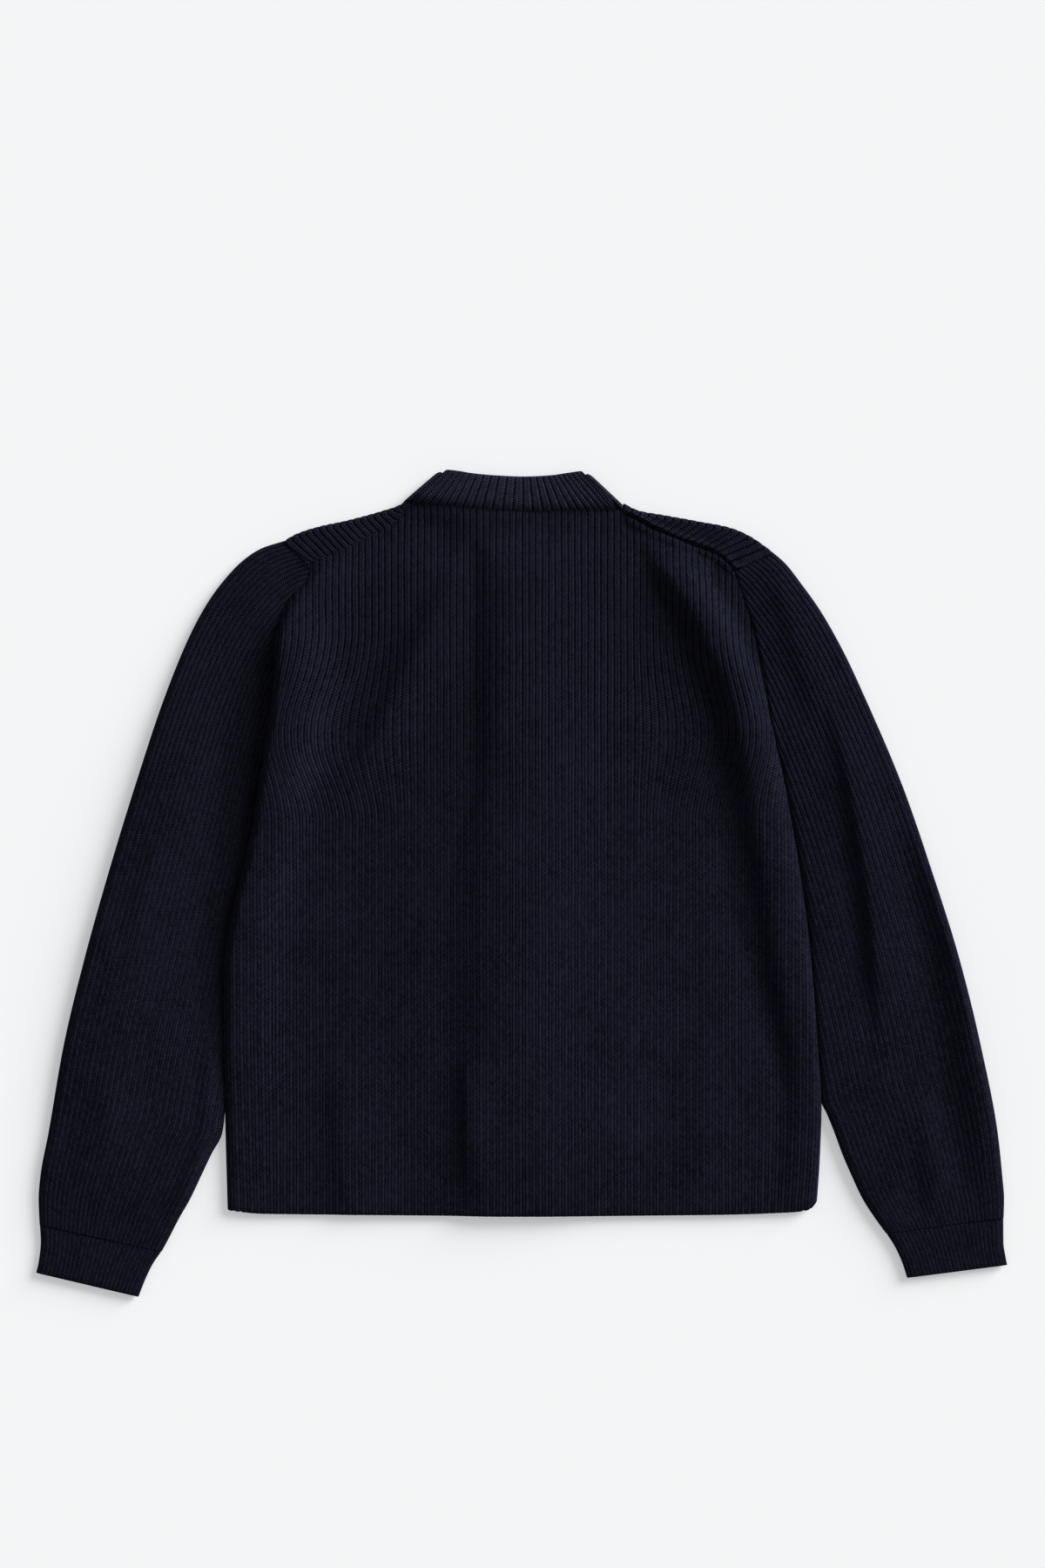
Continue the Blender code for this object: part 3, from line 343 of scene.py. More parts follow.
def curve(places, values, at):
    """A smooth line through the values that never overshoots them."""
    places = np.asarray(places, float)
    values = np.asarray(values, float)
    step = np.diff(places)
    slope = np.diff(values) / step
    same = slope[:-1] * slope[1:] > 0
    before = np.where(same, slope[:-1], 1.0)
    after = np.where(same, slope[1:], 1.0)
    weight_a = 2 * step[1:] + step[:-1]
    weight_b = step[1:] + 2 * step[:-1]
    inner = np.where(same, (weight_a + weight_b) / (weight_a / before + weight_b / after), 0.0)
    tangent = np.concatenate([slope[:1], inner, slope[-1:]])
    at = np.clip(at, places[0], places[-1])
    k = np.clip(np.searchsorted(places, at) - 1, 0, len(step) - 1)
    t = (at - places[k]) / step[k]
    keep = (1 + 2 * t) * (1 - t) ** 2 * values[k] + t * t * (3 - 2 * t) * values[k + 1]
    lean = t * (1 - t) ** 2 * tangent[k] - t * t * (1 - t) * tangent[k + 1]
    return keep + step[k] * lean


def read(rows, key, value, at):
    """A smooth line through a table, one of its columns over another."""
    return curve([getattr(row, key) for row in rows], [getattr(row, value) for row in rows], at)


def height_of_line(places, x):
    """Y of an outline that is given as places from left to right."""
    return read(places, "x", "y", x)


def along(places, t):
    """Points at the fractions t of the length of a line through the places."""
    points = np.array([(place.x, place.y) for place in places], float)
    length = np.concatenate([[0.0], np.cumsum(np.hypot(*np.diff(points, axis=0).T))])
    t = np.asarray(t, float) * length[-1]
    return np.stack([curve(length, points[:, 0], t), curve(length, points[:, 1], t)], -1)


def side_edge(y, side):
    """X of the side of the back, or of its armhole."""
    return read(SIDES, "y", side, y)


def front_edge(y, side):
    """The front's side edge: the back's up to the armhole, then a plainer curve."""
    high = read(FRONT_ARMHOLE, "y", side, y)
    return np.where(y < FRONT_ARMHOLE[0].y, side_edge(y, side), high)


def fold_height(folds, x, y):
    """Sum of the folds at a place. Each fades out at both of its ends."""
    total = np.zeros(np.broadcast(x, y).shape)
    for fold in folds:
        heights = (fold.low_y, fold.mid_y, fold.high_y)
        crest = curve(heights, (fold.low_x, fold.mid_x, fold.high_x), y)
        reach = 0.34 * (fold.high_y - fold.low_y)
        fade = smooth((y - fold.low_y) / reach) * smooth((fold.high_y - y) / reach)
        spread = np.where(x < crest, fold.left, fold.right)
        total = total + fold.rise * fade * hump(x, crest, spread)
    return total


def side_swell(x, y, side):
    """The long swell beside a side edge: a flat crest between two steep flanks."""
    rows = SIDE_SWELLS[side]
    inside = (x - side_edge(y, side)) * INWARDS[side]
    crest = read(rows, "y", "inside", y)
    spread = np.where(inside < crest, *SWELL_SPREAD[side])
    flank = np.abs((inside - crest) / spread) ** SWELL_POWER
    return read(rows, "y", "rise", y) * np.exp(-flank)


def band_lift(x, y, lifted, start, end):
    """Rise of a layer that climbs onto the front bands."""
    away = np.abs(x - BAND_CENTRE)
    fades = smooth((BAND_TOP + 30.0 - y) / 26.0)
    return lifted * (1.0 - smooth((away - start) / (end - start))) * fades


def body_top(x, y):
    """Height of the plain top of the back and of the shoulder strips."""
    lifted = BACK_OVER_BANDS - WALL - AIR
    flank_end = lerp(*LEFT_FLANKS, smooth((y + 10.0) / 120.0))
    left_flank = band_lift(x, y, lifted, BAND_CREST, flank_end)
    right_flank = band_lift(x, y, lifted, BAND_CREST, RIGHT_FLANK)
    over_bands = np.where(x < BAND_CENTRE, left_flank, right_flank)
    dome = DOME_RISE * hump(x, DOME_X, DOME_SPREAD)
    dome = dome * smooth((y + 290.0) / 80.0) * smooth((322.0 - y) / 70.0)
    swells = side_swell(x, y, "left") + side_swell(x, y, "right")
    below_seam = back_top_line(x) - y
    low_cord, high_cord = (hump(below_seam, place, CORD_SPREAD) for place in CORD_PLACES)
    cord = CORD_RISE * (low_cord + high_cord) * smooth((x - 86.0) / 8.0)
    near_neck = smooth((y - 296.0) / 22.0) * smooth((96.0 - np.abs(x)) / 40.0)
    seam_rise = near_neck * np.where(x < 0, 2.4, 1.2)
    away = smooth((np.minimum(x + 250.0, 250.0 - x)) / 40.0)
    relief = RELIEF * soft_relief(x, y) * away
    folds = fold_height(BODY_FOLDS, x, y) + swells + dome + cord
    return FLAT + over_bands + seam_rise + relief + folds


def side_distance(x, y):
    """Distance from the nearer side edge, and which way is inwards there."""
    from_left = x - side_edge(y, "left")
    from_right = side_edge(y, "right") - x
    return np.minimum(from_left, from_right), np.where(from_left < from_right, 1.0, -1.0)


def above_underarm(y):
    """0 along the folded side, 1 along the armhole seam."""
    return smooth((y - UNDERARM_Y) / 14.0)


def inset(distance, amount):
    """Moves a point inwards, by the full amount at the edge and by less further in."""
    return amount * np.exp(-distance / 4.0)


def back_top_line(x):
    return height_of_line(BACK_TOP, x) - 1.6 * GAP


def up_the_back(y):
    """0 towards the hem, where the ribs are pressed most, 1 near the shoulders."""
    return smooth((y + 20.0) / 290.0)


def back_outer(x, y, rib):
    """Outer surface of the back. rib is 0 in a groove and 1 on a rib."""
    distance, _ = side_distance(x, y)
    distance = np.maximum(distance, 0.0)
    plain = body_top(x, y)
    seam = above_underarm(y)
    rim = lerp(EDGE_MID, FLAT - 0.9, seam)
    rolled = rim + (plain - rim) * quarter(distance / EDGE_ROUND)
    top = 1.1 * (1.0 - smooth((back_top_line(x) - y) / 5.0))
    hem = 0.8 * (1.0 - smooth((y - height_of_line(HEM, x)) / 4.0))
    shown = quarter(distance / lerp(EDGE_ROUND, 2.5, seam))
    pressed = lerp(HEM_RIB, 1.0, up_the_back(y))
    return rolled - top - hem * shown + RIB_RISE * pressed * rib * shown


def back_inner(x, y):
    """Inner surface of the back: moved in at the sides, one wall below the outer."""
    distance, inwards = side_distance(x, y)
    distance = np.maximum(distance, 0.0)
    seam = above_underarm(y)
    amount = lerp(EDGE_INSET, 0.1, seam)
    moved = inset(distance, amount)
    level = body_top(x, y) - WALL
    rise = quarter((distance + moved - amount) / 6.0)
    rim = lerp(EDGE_MID, FLAT - WALL, seam)
    return x + inwards * moved, y, rim + (level - rim) * rise


def armpit_drag(base_x, y):
    """Sideways push of the ribs beside the armpits, sharpest just above the underarm."""
    below = smooth((y - 52.0) / 66.0)
    above = smooth((222.0 - y) / 104.0)
    reach = smooth((np.abs(base_x) - 84.0) / 70.0)
    edge = 1.0 - 0.35 * smooth((np.abs(base_x) - 185.0) / 25.0)
    push = np.where(base_x < 0, 17.0, 13.0) * reach * edge
    ripple = 2.2 * reach * np.sin((y - 110.0) / 21.0) * hump(y, 130.0, 60.0)
    return np.sign(base_x) * (push * np.where(y < 118.0, below, above) + ripple)


def soft_relief(x, y):
    """Low uneven swells of cloth that was smoothed by hand, from about -1 to 1."""
    a = np.sin(x / 31.0 + 0.9) * np.sin(y / 43.0 - 0.4)
    b = np.sin(x / 57.0 - y / 38.0 + 1.7)
    c = np.sin(x / 23.0 + y / 61.0 + 2.6) * np.sin(y / 27.0 + 0.8)
    return 0.4 * a + 0.35 * b + 0.25 * c


def hip_swell(base_x, y):
    """Keeps the outermost ribs parallel to the side where the side swells out."""
    left = side_edge(np.minimum(y, -129.0), "left") - SIDES[0].left
    right = side_edge(np.minimum(y, -190.0), "right") - SIDES[0].right
    reach = smooth((np.abs(base_x) - 190.0) / 60.0)
    return np.where(base_x < 0, left, right) * reach


def rib_line(base_x, y):
    return base_x + armpit_drag(base_x, y) + hip_swell(base_x, y)


def bridge(line_a, line_b, keys_a, keys_b):
    """Triangles between two lines of points, whose keys say how far along each point is."""
    faces = []
    i = j = 0
    last_i = len(line_a) - 1
    last_j = len(line_b) - 1
    while i < last_i or j < last_j:
        if j == last_j or (i < last_i and keys_a[i] + keys_a[i + 1] <= keys_b[j] + keys_b[j + 1]):
            faces.append((line_a[i], line_a[i + 1], line_b[j]))
            i += 1
        else:
            faces.append((line_a[i], line_b[j + 1], line_b[j]))
            j += 1
    return faces


def rib_profile(part):
    """Height across a rib, from 0 in a groove to about 1, with a dip between its two legs."""
    return np.abs(np.sin(np.pi * part)) ** 0.6 - 0.16 * hump(part, 0.5, 0.09)


def rib_places(ribs, pattern):
    """Rib coordinate of every column: whole numbers are grooves."""
    places = (np.arange(ribs)[:, None] + np.array(pattern)).ravel()
    return np.append(places, float(ribs))


def wander(u, v):
    """Slow unevenness of hand-laid ribs, from about -1 to 1."""
    a = np.sin(0.61 * u + 0.021 * v + 1.3) * np.sin(0.17 * u - 0.034 * v)
    b = np.sin(1.91 * u - 0.047 * v + 0.4) * np.sin(0.053 * v + 2.1)
    return 0.6 * a + 0.4 * b


def rib_strength(u):
    """How proud each rib stands: no two are quite the same."""
    random = np.random.default_rng(SEED)
    table = random.uniform(0.82, 1.12, 400)
    return table[np.floor(np.clip(u, 0, 399)).astype(int)]


def net_faces(rows, columns, first, wrap=False):
    """Quads of a net of points, whose first point has the index first."""
    across = columns if wrap else columns - 1
    r, c = np.meshgrid(np.arange(rows - 1), np.arange(across), indexing="ij")
    a = first + r * columns + c
    b = first + r * columns + (c + 1) % columns
    return np.stack([a, b, b + columns, a + columns], -1).reshape(-1, 4)


def add_object(name, data):
    made = bpy.data.objects.new(name, data)
    bpy.context.scene.collection.objects.link(made)
    return made


def add_piece(name, points, faces, knit, look):
    """Makes one closed piece from points in millimetres. knit holds each point's rib,
    its row of stitches, and how much of the stitch shows."""
    mesh = bpy.data.meshes.new(name)
    mesh.from_pydata((np.asarray(points) * MM).tolist(), [], [tuple(face) for face in faces])
    stitch = mesh.attributes.new("knit", "FLOAT_VECTOR", "POINT")
    stitch.data.foreach_set("vector", np.asarray(knit, np.float32).ravel())
    shape = bmesh.new()
    shape.from_mesh(mesh)
    bmesh.ops.remove_doubles(shape, verts=shape.verts, dist=SAME_PLACE * MM)
    bmesh.ops.recalc_face_normals(shape, faces=shape.faces)
    shape.to_mesh(mesh)
    shape.free()
    mesh.polygons.foreach_set("use_smooth", np.ones(len(mesh.polygons), bool))
    mesh.materials.append(look)
    return add_object(name, mesh)


Net = namedtuple("Net", "points knit columns rows")


def closed_wall(name, outer, inner, look, wrap=False):
    """A wall between two nets, sewn together along every open edge."""
    nets = (outer, inner)
    faces = []
    ids = []
    first = 0
    for net in nets:
        rows, columns = net.points.shape[:2]
        faces += net_faces(rows, columns, first, wrap).tolist()
        ids.append(first + np.arange(rows * columns).reshape(rows, columns))
        first += rows * columns
    for end in (0, -1):
        lines = [list(part[end]) for part in ids]
        keys = [list(net.columns) for net in nets]
        if wrap:
            lines = [line + line[:1] for line in lines]
            keys = [key + [1.0] for key in keys]
        faces += bridge(*lines, *keys)
    if not wrap:
        for side in (0, -1):
            lines = [list(part[:, side]) for part in ids]
            faces += bridge(*lines, list(outer.rows), list(inner.rows))
    points = np.concatenate([net.points.reshape(-1, 3) for net in nets])
    knit = np.concatenate([net.knit.reshape(-1, 3) for net in nets])
    return add_piece(name, points, faces, knit, look)


def shell(name, outer, inner, faces, knit, look):
    """A wall whose two surfaces share one net of faces, closed along its open edges."""
    count = len(outer)
    used = {}
    for face in faces:
        for a, b in zip(face, face[1:] + face[:1]):
            used[(a, b)] = used.get((a, b), 0) + 1
    both = list(faces)
    both += [tuple(k + count for k in reversed(face)) for face in faces]
    for a, b in used:
        if (b, a) not in used:
            both.append((b, a, a + count, b + count))
    points = np.concatenate([outer, inner])
    return add_piece(name, points, both, np.concatenate([knit, knit]), look)


def spaced(fine, step, length):
    """Fractions from 0 to 1: fine steps at both ends, then even steps between."""
    ends = np.array(fine) / length
    middle = np.linspace(ends[-1], 1.0 - ends[-1], max(2, int(length / step)))
    return np.concatenate([ends[:-1], middle, 1.0 - ends[:-1][::-1]])


def thinned(rows, count, every):
    """The first and last few rows, and one in so many of those between."""
    last = len(rows)
    return rows[np.r_[0:count, count:last - count:every, last - count:last]]


def back_net(u, rows, inside):
    """Points of the back at the rib coordinates u and at fractions of its length. A rib
    that runs into a side or an armhole goes on along that edge."""
    base = lerp(SIDES[0].left, SIDES[0].right, u / BACK_RIBS)
    rib = rib_profile(u % 1.0)
    start = height_of_line(HEM, base) + 0.9 * (1.0 - rib)
    neck_corner = hump(np.abs(base + 5.0), 89.0, 7.0)
    end = height_of_line(BACK_TOP, base) + BACK_UNDER + 2.4 * neck_corner
    y = lerp(start, end, rows[:, None])
    x = rib_line(base, y) + 0.35 * wander(u, y) * smooth((246.0 - np.abs(base)) / 20.0)
    x = np.clip(x, side_edge(y, "left"), side_edge(y, "right"))
    if inside:
        x, y, z = back_inner(x, y)
    else:
        z = back_outer(x, y, rib * rib_strength(u)) - 0.7 * np.exp(-(y - start) / 1.6)
    knit = triple(u, (y - FIRST_ROW_Y) / COURSE, lerp(HEM_CLEAR, 1.0, up_the_back(y)))
    return Net(triple(x, y, z), knit, u / BACK_RIBS, rows)


def build_back(look):
    rows = spaced((0.0, 1.0, 2.4, 5.0), 4.7, 600.0)
    u = rib_places(BACK_RIBS, COARSE_RIB)
    inner_u = np.unique(np.concatenate([u[:13], np.arange(2.5, 88.0, 2.0), u[-13:]]))
    outer = back_net(u, rows, False)
    inner = back_net(inner_u, thinned(rows, 3, 6), True)
    return closed_wall("back_knit", outer, inner, look)


def armhole_line(side, layer, t):
    """The sleeve's edge of the armhole, from the shoulder fold to the underarm."""
    tip = SHOULDER_TIP[side]
    if layer == "upper":
        corner = BACK_CORNER[side]
        turned_y = tip.y - FOLD_REACH
        rows = [tip]
        for way in (0.0, 0.1, 0.4, 0.7, 0.9, 1.0):
            rows.append(Place(lerp(tip.x, corner.x, way), lerp(turned_y, corner.y, way)))
        for y in np.linspace(corner.y - 4.0, UNDERARM_Y, 26):
            rows.append(Place(float(side_edge(y, side)), y))
    else:
        heights = np.linspace(tip.y, UNDERARM_Y, 12)
        rows = [Place(float(front_edge(y, side)), y) for y in heights]
    points = along(rows, t)
    ahead = along(rows, np.clip(t + 0.01, 0.0, 1.0)) - along(rows, np.clip(t - 0.01, 0.0, 1.0))
    ahead /= np.hypot(*ahead.T)[:, None]
    outward = np.stack([ahead[:, 1], -ahead[:, 0]], -1) * INWARDS[side]
    return points + ARMHOLE_GAP * outward


def sleeve_inner_line(side):
    """Inner edge of the sleeve, carried on under the back above the underarm."""

    def under(y, tuck):
        return Place(float(side_edge(y, side)) + INWARDS[side] * tuck, y)

    rows = SLEEVE_HIDDEN[side] + [under(UNDERARM_Y + up, tuck) for up, tuck in UNDERARM_TUCKS]
    rows += [under(y, TUCK) for y in np.linspace(UNDERARM_Y - 8.0, -186.0, 16)]
    return rows + SLEEVE_INNER_TAIL[side]


def across(outer, inner):
    """Distance from each outer point to its inner point."""
    return np.hypot(*np.moveaxis(outer - inner, -1, 0))


def sleeve_rungs(side, s):
    """Outer and inner ends of the lines across the sleeve, and the width between them."""
    outer = along(SLEEVE_OUTER[side], s)
    inner = along(sleeve_inner_line(side), s)
    return outer, inner, across(outer, inner)


def sleeve_opening(side):
    """Where the armhole cuts the sleeve: distance round it from the outer edge, and s."""
    s = np.linspace(0.0, 0.5, 601)
    outer, inner, width = sleeve_rungs(side, s)
    rung = inner - outer
    sign = -INWARDS[side]
    around = []
    starts = []
    for layer in ("upper", "lower"):
        line = armhole_line(side, layer, np.linspace(0.0, 1.0, 121))
        away = line[:, None, :] - outer[None, :, :]
        ahead = sign * (rung[:, 0] * away[..., 1] - rung[:, 1] * away[..., 0])
        k = np.argmax(ahead <= 0.0, axis=1)
        before = np.maximum(k - 1, 0)
        rows = np.arange(len(line))
        drop = ahead[rows, before] - ahead[rows, k]
        part = np.where(k > 0, ahead[rows, before] / np.where(drop == 0, 1.0, drop), 0.0)
        at = lerp(s[before], s[k], part)
        start, _, wide = sleeve_rungs(side, at)
        f = np.clip(np.hypot(*(line - start).T) / wide, 0.0, 1.0)
        at = at + TIP_GAP / SLEEVE_RUN * (1.0 - smooth(f * wide / 18.0))
        if layer == "lower":
            f, at, wide = f[::-1], at[::-1], wide[::-1]
        around.append(f * wide if layer == "upper" else (2.0 - f) * wide)
        starts.append(at)
    return np.maximum.accumulate(np.concatenate(around)), np.concatenate(starts)


def front_lift(x, y, side):
    """Height of the underside of a front, which climbs to its own band."""
    return band_lift(x, y, BAND_Z[side], BAND_HALF + 0.5, 40.0)


def front_floor(x, y, side, layer):
    """A point of the front's lower part. layer 0 is the outside, 1 the inside."""
    inwards = INWARDS[side]
    distance = np.maximum((x - front_edge(y, side)) * inwards, 0.0)
    seam = above_underarm(y)
    rim = EDGE_MID - 0.3
    lift = front_lift(x, y, side)
    if layer == 0:
        z = lerp(rim * (1.0 - quarter(distance / EDGE_ROUND)), 0.0, seam)
        return triple(x, y, z + lift)
    amount = lerp(EDGE_INSET, 0.1, seam)
    moved = inset(distance, amount)
    rise = 1.0 - quarter((distance + moved - amount) / 6.0)
    z = lerp(WALL + (rim - WALL) * rise, WALL, seam)
    return triple(x + inwards * moved, y, z + lift)


def front_top(x, side):
    """Upper edge of the front's lower part: the neckline, then the shoulder fold."""
    neckline = height_of_line(NECKLINE[side], x)
    fold = height_of_line(SILHOUETTE[side], x) - FOLD_REACH
    on_shoulder = (x - NECK_CORNER[side].x) * INWARDS[side] < 0.0
    return np.where(on_shoulder, fold, neckline)


def band_edge(side):
    """X at which a front ends and its band begins."""
    return BAND_CENTRE - BAND_HALF - GAP if side == "left" else BAND_CENTRE + BAND_HALF + GAP


def front_places(parts, row, side):
    """Plan points at fractions of the way from the band to the side edge."""
    centre = band_edge(side)
    x = lerp(centre, front_edge(np.full(len(parts), -200.0), side), parts)
    for _ in range(60):
        y = lerp(height_of_line(HEM, x) + 1.0, front_top(x, side), row)
        x = lerp(centre, front_edge(y, side), parts)
    return x, y


def shoulder_seam(parts, side):
    """Points of the shoulder seam, from the neck outwards, on the strip's side of it."""
    x = lerp(-93.2, -182.0, parts) if side == "left" else lerp(85.4, 183.2, parts)
    return x, height_of_line(BACK_TOP, x)


def shoulder_turn(x, y, rib, turn):
    """The cloth as it goes round the fold over the shoulder."""
    full = body_top(x, y)
    out_y = y + FOLD_REACH * math.sin(turn)
    in_y = y + (FOLD_REACH - WALL) * math.sin(turn)
    raised = RIB_RISE * rib
    out_z = 0.5 * full * (1.0 - math.cos(turn)) - raised * math.cos(turn) * (turn > math.pi / 2)
    out_y = out_y + 0.6 * raised * math.sin(turn)
    in_z = 0.5 * full - (0.5 * full - WALL) * math.cos(turn)
    return triple(x, out_y, out_z), triple(x, in_y, in_z)


def shoulder_strip(x, y, rib, way):
    """The strip of the front that lies on top, down to the shoulder seam."""
    plain = body_top(x, y)
    dip = 0.7 * smooth((way - 0.5) / 0.5) + 0.5 * smooth((way - 0.93) / 0.07)
    return triple(x, y, plain - dip + RIB_RISE * rib), triple(x, y, plain - WALL)


def build_front(side, look):
    """A front: plain ribs on the table, then round the fold to the shoulder seam."""
    centre = band_edge(side)
    neck_part = (NECK_CORNER[side].x - centre) / (SHOULDER_TIP[side].x - centre)
    neck = neck_part * np.linspace(0.0, 1.0, 21)[:-1]
    fine_u = rib_places(SHOULDER_RIBS, FINE_RIB)
    fine_way = fine_u / SHOULDER_RIBS
    edge_way = 1.0 - np.array([0.12, 0.09, 0.065, 0.045, 0.03, 0.018, 0.009, 0.003, 0.0])
    coarse_way = np.concatenate([np.linspace(0.0, 0.85, 22), edge_way])
    coarse = np.concatenate([neck, lerp(neck_part, 1.0, coarse_way)])
    mixed = np.concatenate([neck, lerp(neck_part, 1.0, fine_way)])
    lines = []
    for row in spaced((0.0, 1.5, 4.0), 14.0, FRONT_RUN):
        parts = mixed if row == 1.0 else coarse
        x, y = front_places(parts, row, side)
        knit = triple(x / FRONT_PITCH, (y - FIRST_ROW_Y) / COURSE)
        lines.append((front_floor(x, y, side, 0), front_floor(x, y, side, 1), parts, knit))
    fold_x, fold_y = x[len(neck):], y[len(neck):]
    rib = rib_profile(fine_u % 1.0) * rib_strength(fine_u + 150)
    fine = mixed[len(neck):]

    def knit_at(distance):
        return triple(-INWARDS[side] * fine_u, FRONT_RUN / COURSE + distance / COURSE)

    for turn in range(15, 181, 15):
        angle = math.radians(turn)
        out, into = shoulder_turn(fold_x, fold_y, rib, angle)
        lines.append((out, into, fine, knit_at(FOLD_REACH * angle)))
    seam_x, seam_y = shoulder_seam(fine_way, side)
    for way in (0.08, 0.2, 0.34, 0.48, 0.62, 0.76, 0.87, 0.94, 0.98, 1.0):
        strip_x = lerp(fold_x, seam_x, way)
        strip_y = lerp(fold_y, seam_y, way)
        out, into = shoulder_strip(strip_x, strip_y, rib, way)
        knit = knit_at(FOLD_REACH * math.pi)
        knit[:, 1] += np.hypot(strip_x - fold_x, strip_y - fold_y) / COURSE
        lines.append((out, into, fine, knit))
    return front_shell(side, lines, len(neck), look)


def front_shell(side, lines, neck_count, look):
    """Joins the lines of a front. Beyond the fold they start at the neck's corner."""
    outer, inner, knit = (np.concatenate([line[k] for line in lines]) for k in (0, 1, 3))
    starts = np.cumsum([0] + [len(line[0]) for line in lines])
    ids = [list(range(first, last)) for first, last in zip(starts, starts[1:])]
    keys = [list(line[2]) for line in lines]
    faces = []
    for k in range(len(lines) - 1):
        line_a, keys_a = ids[k], keys[k]
        if len(ids[k]) > len(ids[k + 1]) and keys[k][0] < keys[k + 1][0]:
            line_a, keys_a = ids[k][neck_count:], keys[k][neck_count:]
        faces += bridge(line_a, ids[k + 1], keys_a, keys[k + 1])
    return shell("front_" + side + "_knit", outer, inner, faces, knit, look)


def limb_heights(distance, height, lower, rise, inside):
    """Height on a flattened tube, rounded down to its two folded edges."""
    shown = quarter(distance / EDGE_ROUND)
    if inside:
        upper_z = EDGE_MID + (height - WALL - EDGE_MID) * shown
        lower_z = EDGE_MID + (WALL - EDGE_MID) * shown
    else:
        upper_z = EDGE_MID + (height - EDGE_MID + rise) * shown
        lower_z = EDGE_MID * (1.0 - shown)
    return np.where(lower, lower_z, upper_z)


def limb_net(ends, d, height_of, rise, inside):
    """Points of a flattened tube at the distances d round it from its outer edge."""
    outer, inner, width = ends
    lower = d > width
    f = np.where(lower, 2.0 - d / width, d / width)
    distance = np.minimum(f, 1.0 - f) * width
    shift = inset(distance, EDGE_INSET) / width if inside else 0.0
    moved = np.where(f < 0.5, f + shift, f - shift)
    plan = lerp(outer, inner, moved[..., None])
    z = limb_heights(distance, height_of(plan), lower, rise, inside)
    return np.concatenate([plan, z[..., None]], -1)


def knit_round(d, width, pitch, v, clear):
    """Rib and row coordinates round a tube. The jump between ribs lies underneath."""
    u = np.where(d > 1.5 * width, (d - 2.0 * width) / pitch, d / pitch)
    return triple(u, v, clear)


# Places across the underside of a sleeve or cuff, from its inner edge to its outer edge
UNDERSIDE = np.array([
    0.02, 0.06, 0.12, 0.2, 0.35, 0.5, 0.65, 0.8, 0.88, 0.92, 0.95, 0.97, 0.985, 0.995,
])


def sleeve_pitches(side):
    """Rib spacing down the sleeve: ribs run on past the inner edge where it is narrow."""
    s = np.linspace(0.0, 1.0, 401)
    _, _, width = sleeve_rungs(side, s)
    widest = np.argmax(width)
    full = width[widest] / SLEEVE_RIBS
    upper = lerp(UPPER_PITCH, full, smooth(s / s[widest]))
    return s, width, np.where(s < s[widest], upper, width / SLEEVE_RIBS)


def sleeve_starts(side, u, q):
    """s at which every column leaves the armhole: ribs u, then underside places q."""
    grid, grid_width, grid_pitch = sleeve_pitches(side)
    around, starts = sleeve_opening(side)
    width = np.interp(starts, grid, grid_width)
    pitch = np.interp(starts, grid, grid_pitch)
    reach = np.maximum(width, SLEEVE_RIBS * pitch)
    rib_start = np.interp(u, around / pitch, starts)
    half = len(starts) // 2
    under = ((around - reach) / (2.0 * width - reach))[half:]
    return np.concatenate([rib_start, np.interp(q, under, starts[half:])])


def limb_columns(reach, width, on_top, q):
    """Distance round a tube of each column: those on top, then those underneath."""
    count = on_top.shape[1]
    d = lerp(reach, 2.0 * width, np.concatenate([np.zeros(count), q]))
    d[:, :count] = on_top
    return d


def limb_ribs(u, q, shift):
    """How far each column's rib stands: none underneath."""
    return np.concatenate([rib_profile(u % 1.0) * rib_strength(u + shift), np.zeros(len(q))])


def limb_keys(u, q, ribs):
    """How far round a tube each column is, from 0 to 1."""
    return np.concatenate([0.5 * u / ribs, 0.5 + 0.5 * q])


def sleeve_height(side, plan, s, gone):
    """Height of the plain top of a sleeve, puffed a little along its middle."""
    x, y = plan[..., 0], plan[..., 1]
    puff = 1.4 * smooth(s / 0.12) * smooth((1.0 - s) / 0.1)
    seam = 0.9 * (1.0 - smooth(gone / 7.0))
    calm = smooth(gone / 40.0) * smooth((1.0 - s) / 0.12)
    relief = RELIEF * soft_relief(1.3 * x + 400.0, y) * calm
    height = FLAT + puff - seam + relief + fold_height(SLEEVE_FOLDS[side], x, y)
    return np.maximum(height, 2.0 * WALL)


def sleeve_net(side, u, q, rows, inside):
    """Points all round a sleeve."""
    start = sleeve_starts(side, u, q)
    s = lerp(start, 1.0, rows[:, None])
    ends = sleeve_rungs(side, s)
    grid, _, grid_pitch = sleeve_pitches(side)
    pitch = np.interp(s, grid, grid_pitch)
    width = ends[2]
    reach = np.maximum(width, SLEEVE_RIBS * pitch)
    d = limb_columns(reach, width, u * pitch[:, :len(u)], q)
    pressed = smooth(s / 0.7)
    rise = RIB_RISE * (limb_ribs(u, q, 40) * lerp(SLEEVE_RIB, CUFF_RIB, pressed))
    gone = SLEEVE_RUN * (s - start)
    points = limb_net(ends, d, lambda plan: sleeve_height(side, plan, s, gone), rise, inside)
    clear = lerp(SLEEVE_CLEAR, CUFF_CLEAR, pressed)
    knit = knit_round(d, width, pitch, SLEEVE_RUN * s / COURSE, clear)
    return Net(points, knit, limb_keys(u, q, SLEEVE_RIBS), rows)


def build_sleeve(side, look):
    rows = spaced((0.0, 1.2, 2.8, 5.0, 8.0), 4.6, SLEEVE_RUN)
    outer = sleeve_net(side, rib_places(SLEEVE_RIBS, FINE_RIB), UNDERSIDE, rows, False)
    inner_u = np.arange(0.0, SLEEVE_RIBS + 1, 0.5)
    inner = sleeve_net(side, inner_u, UNDERSIDE, thinned(rows, 4, 5), True)
    return closed_wall("sleeve_" + side + "_knit", outer, inner, look, wrap=True)


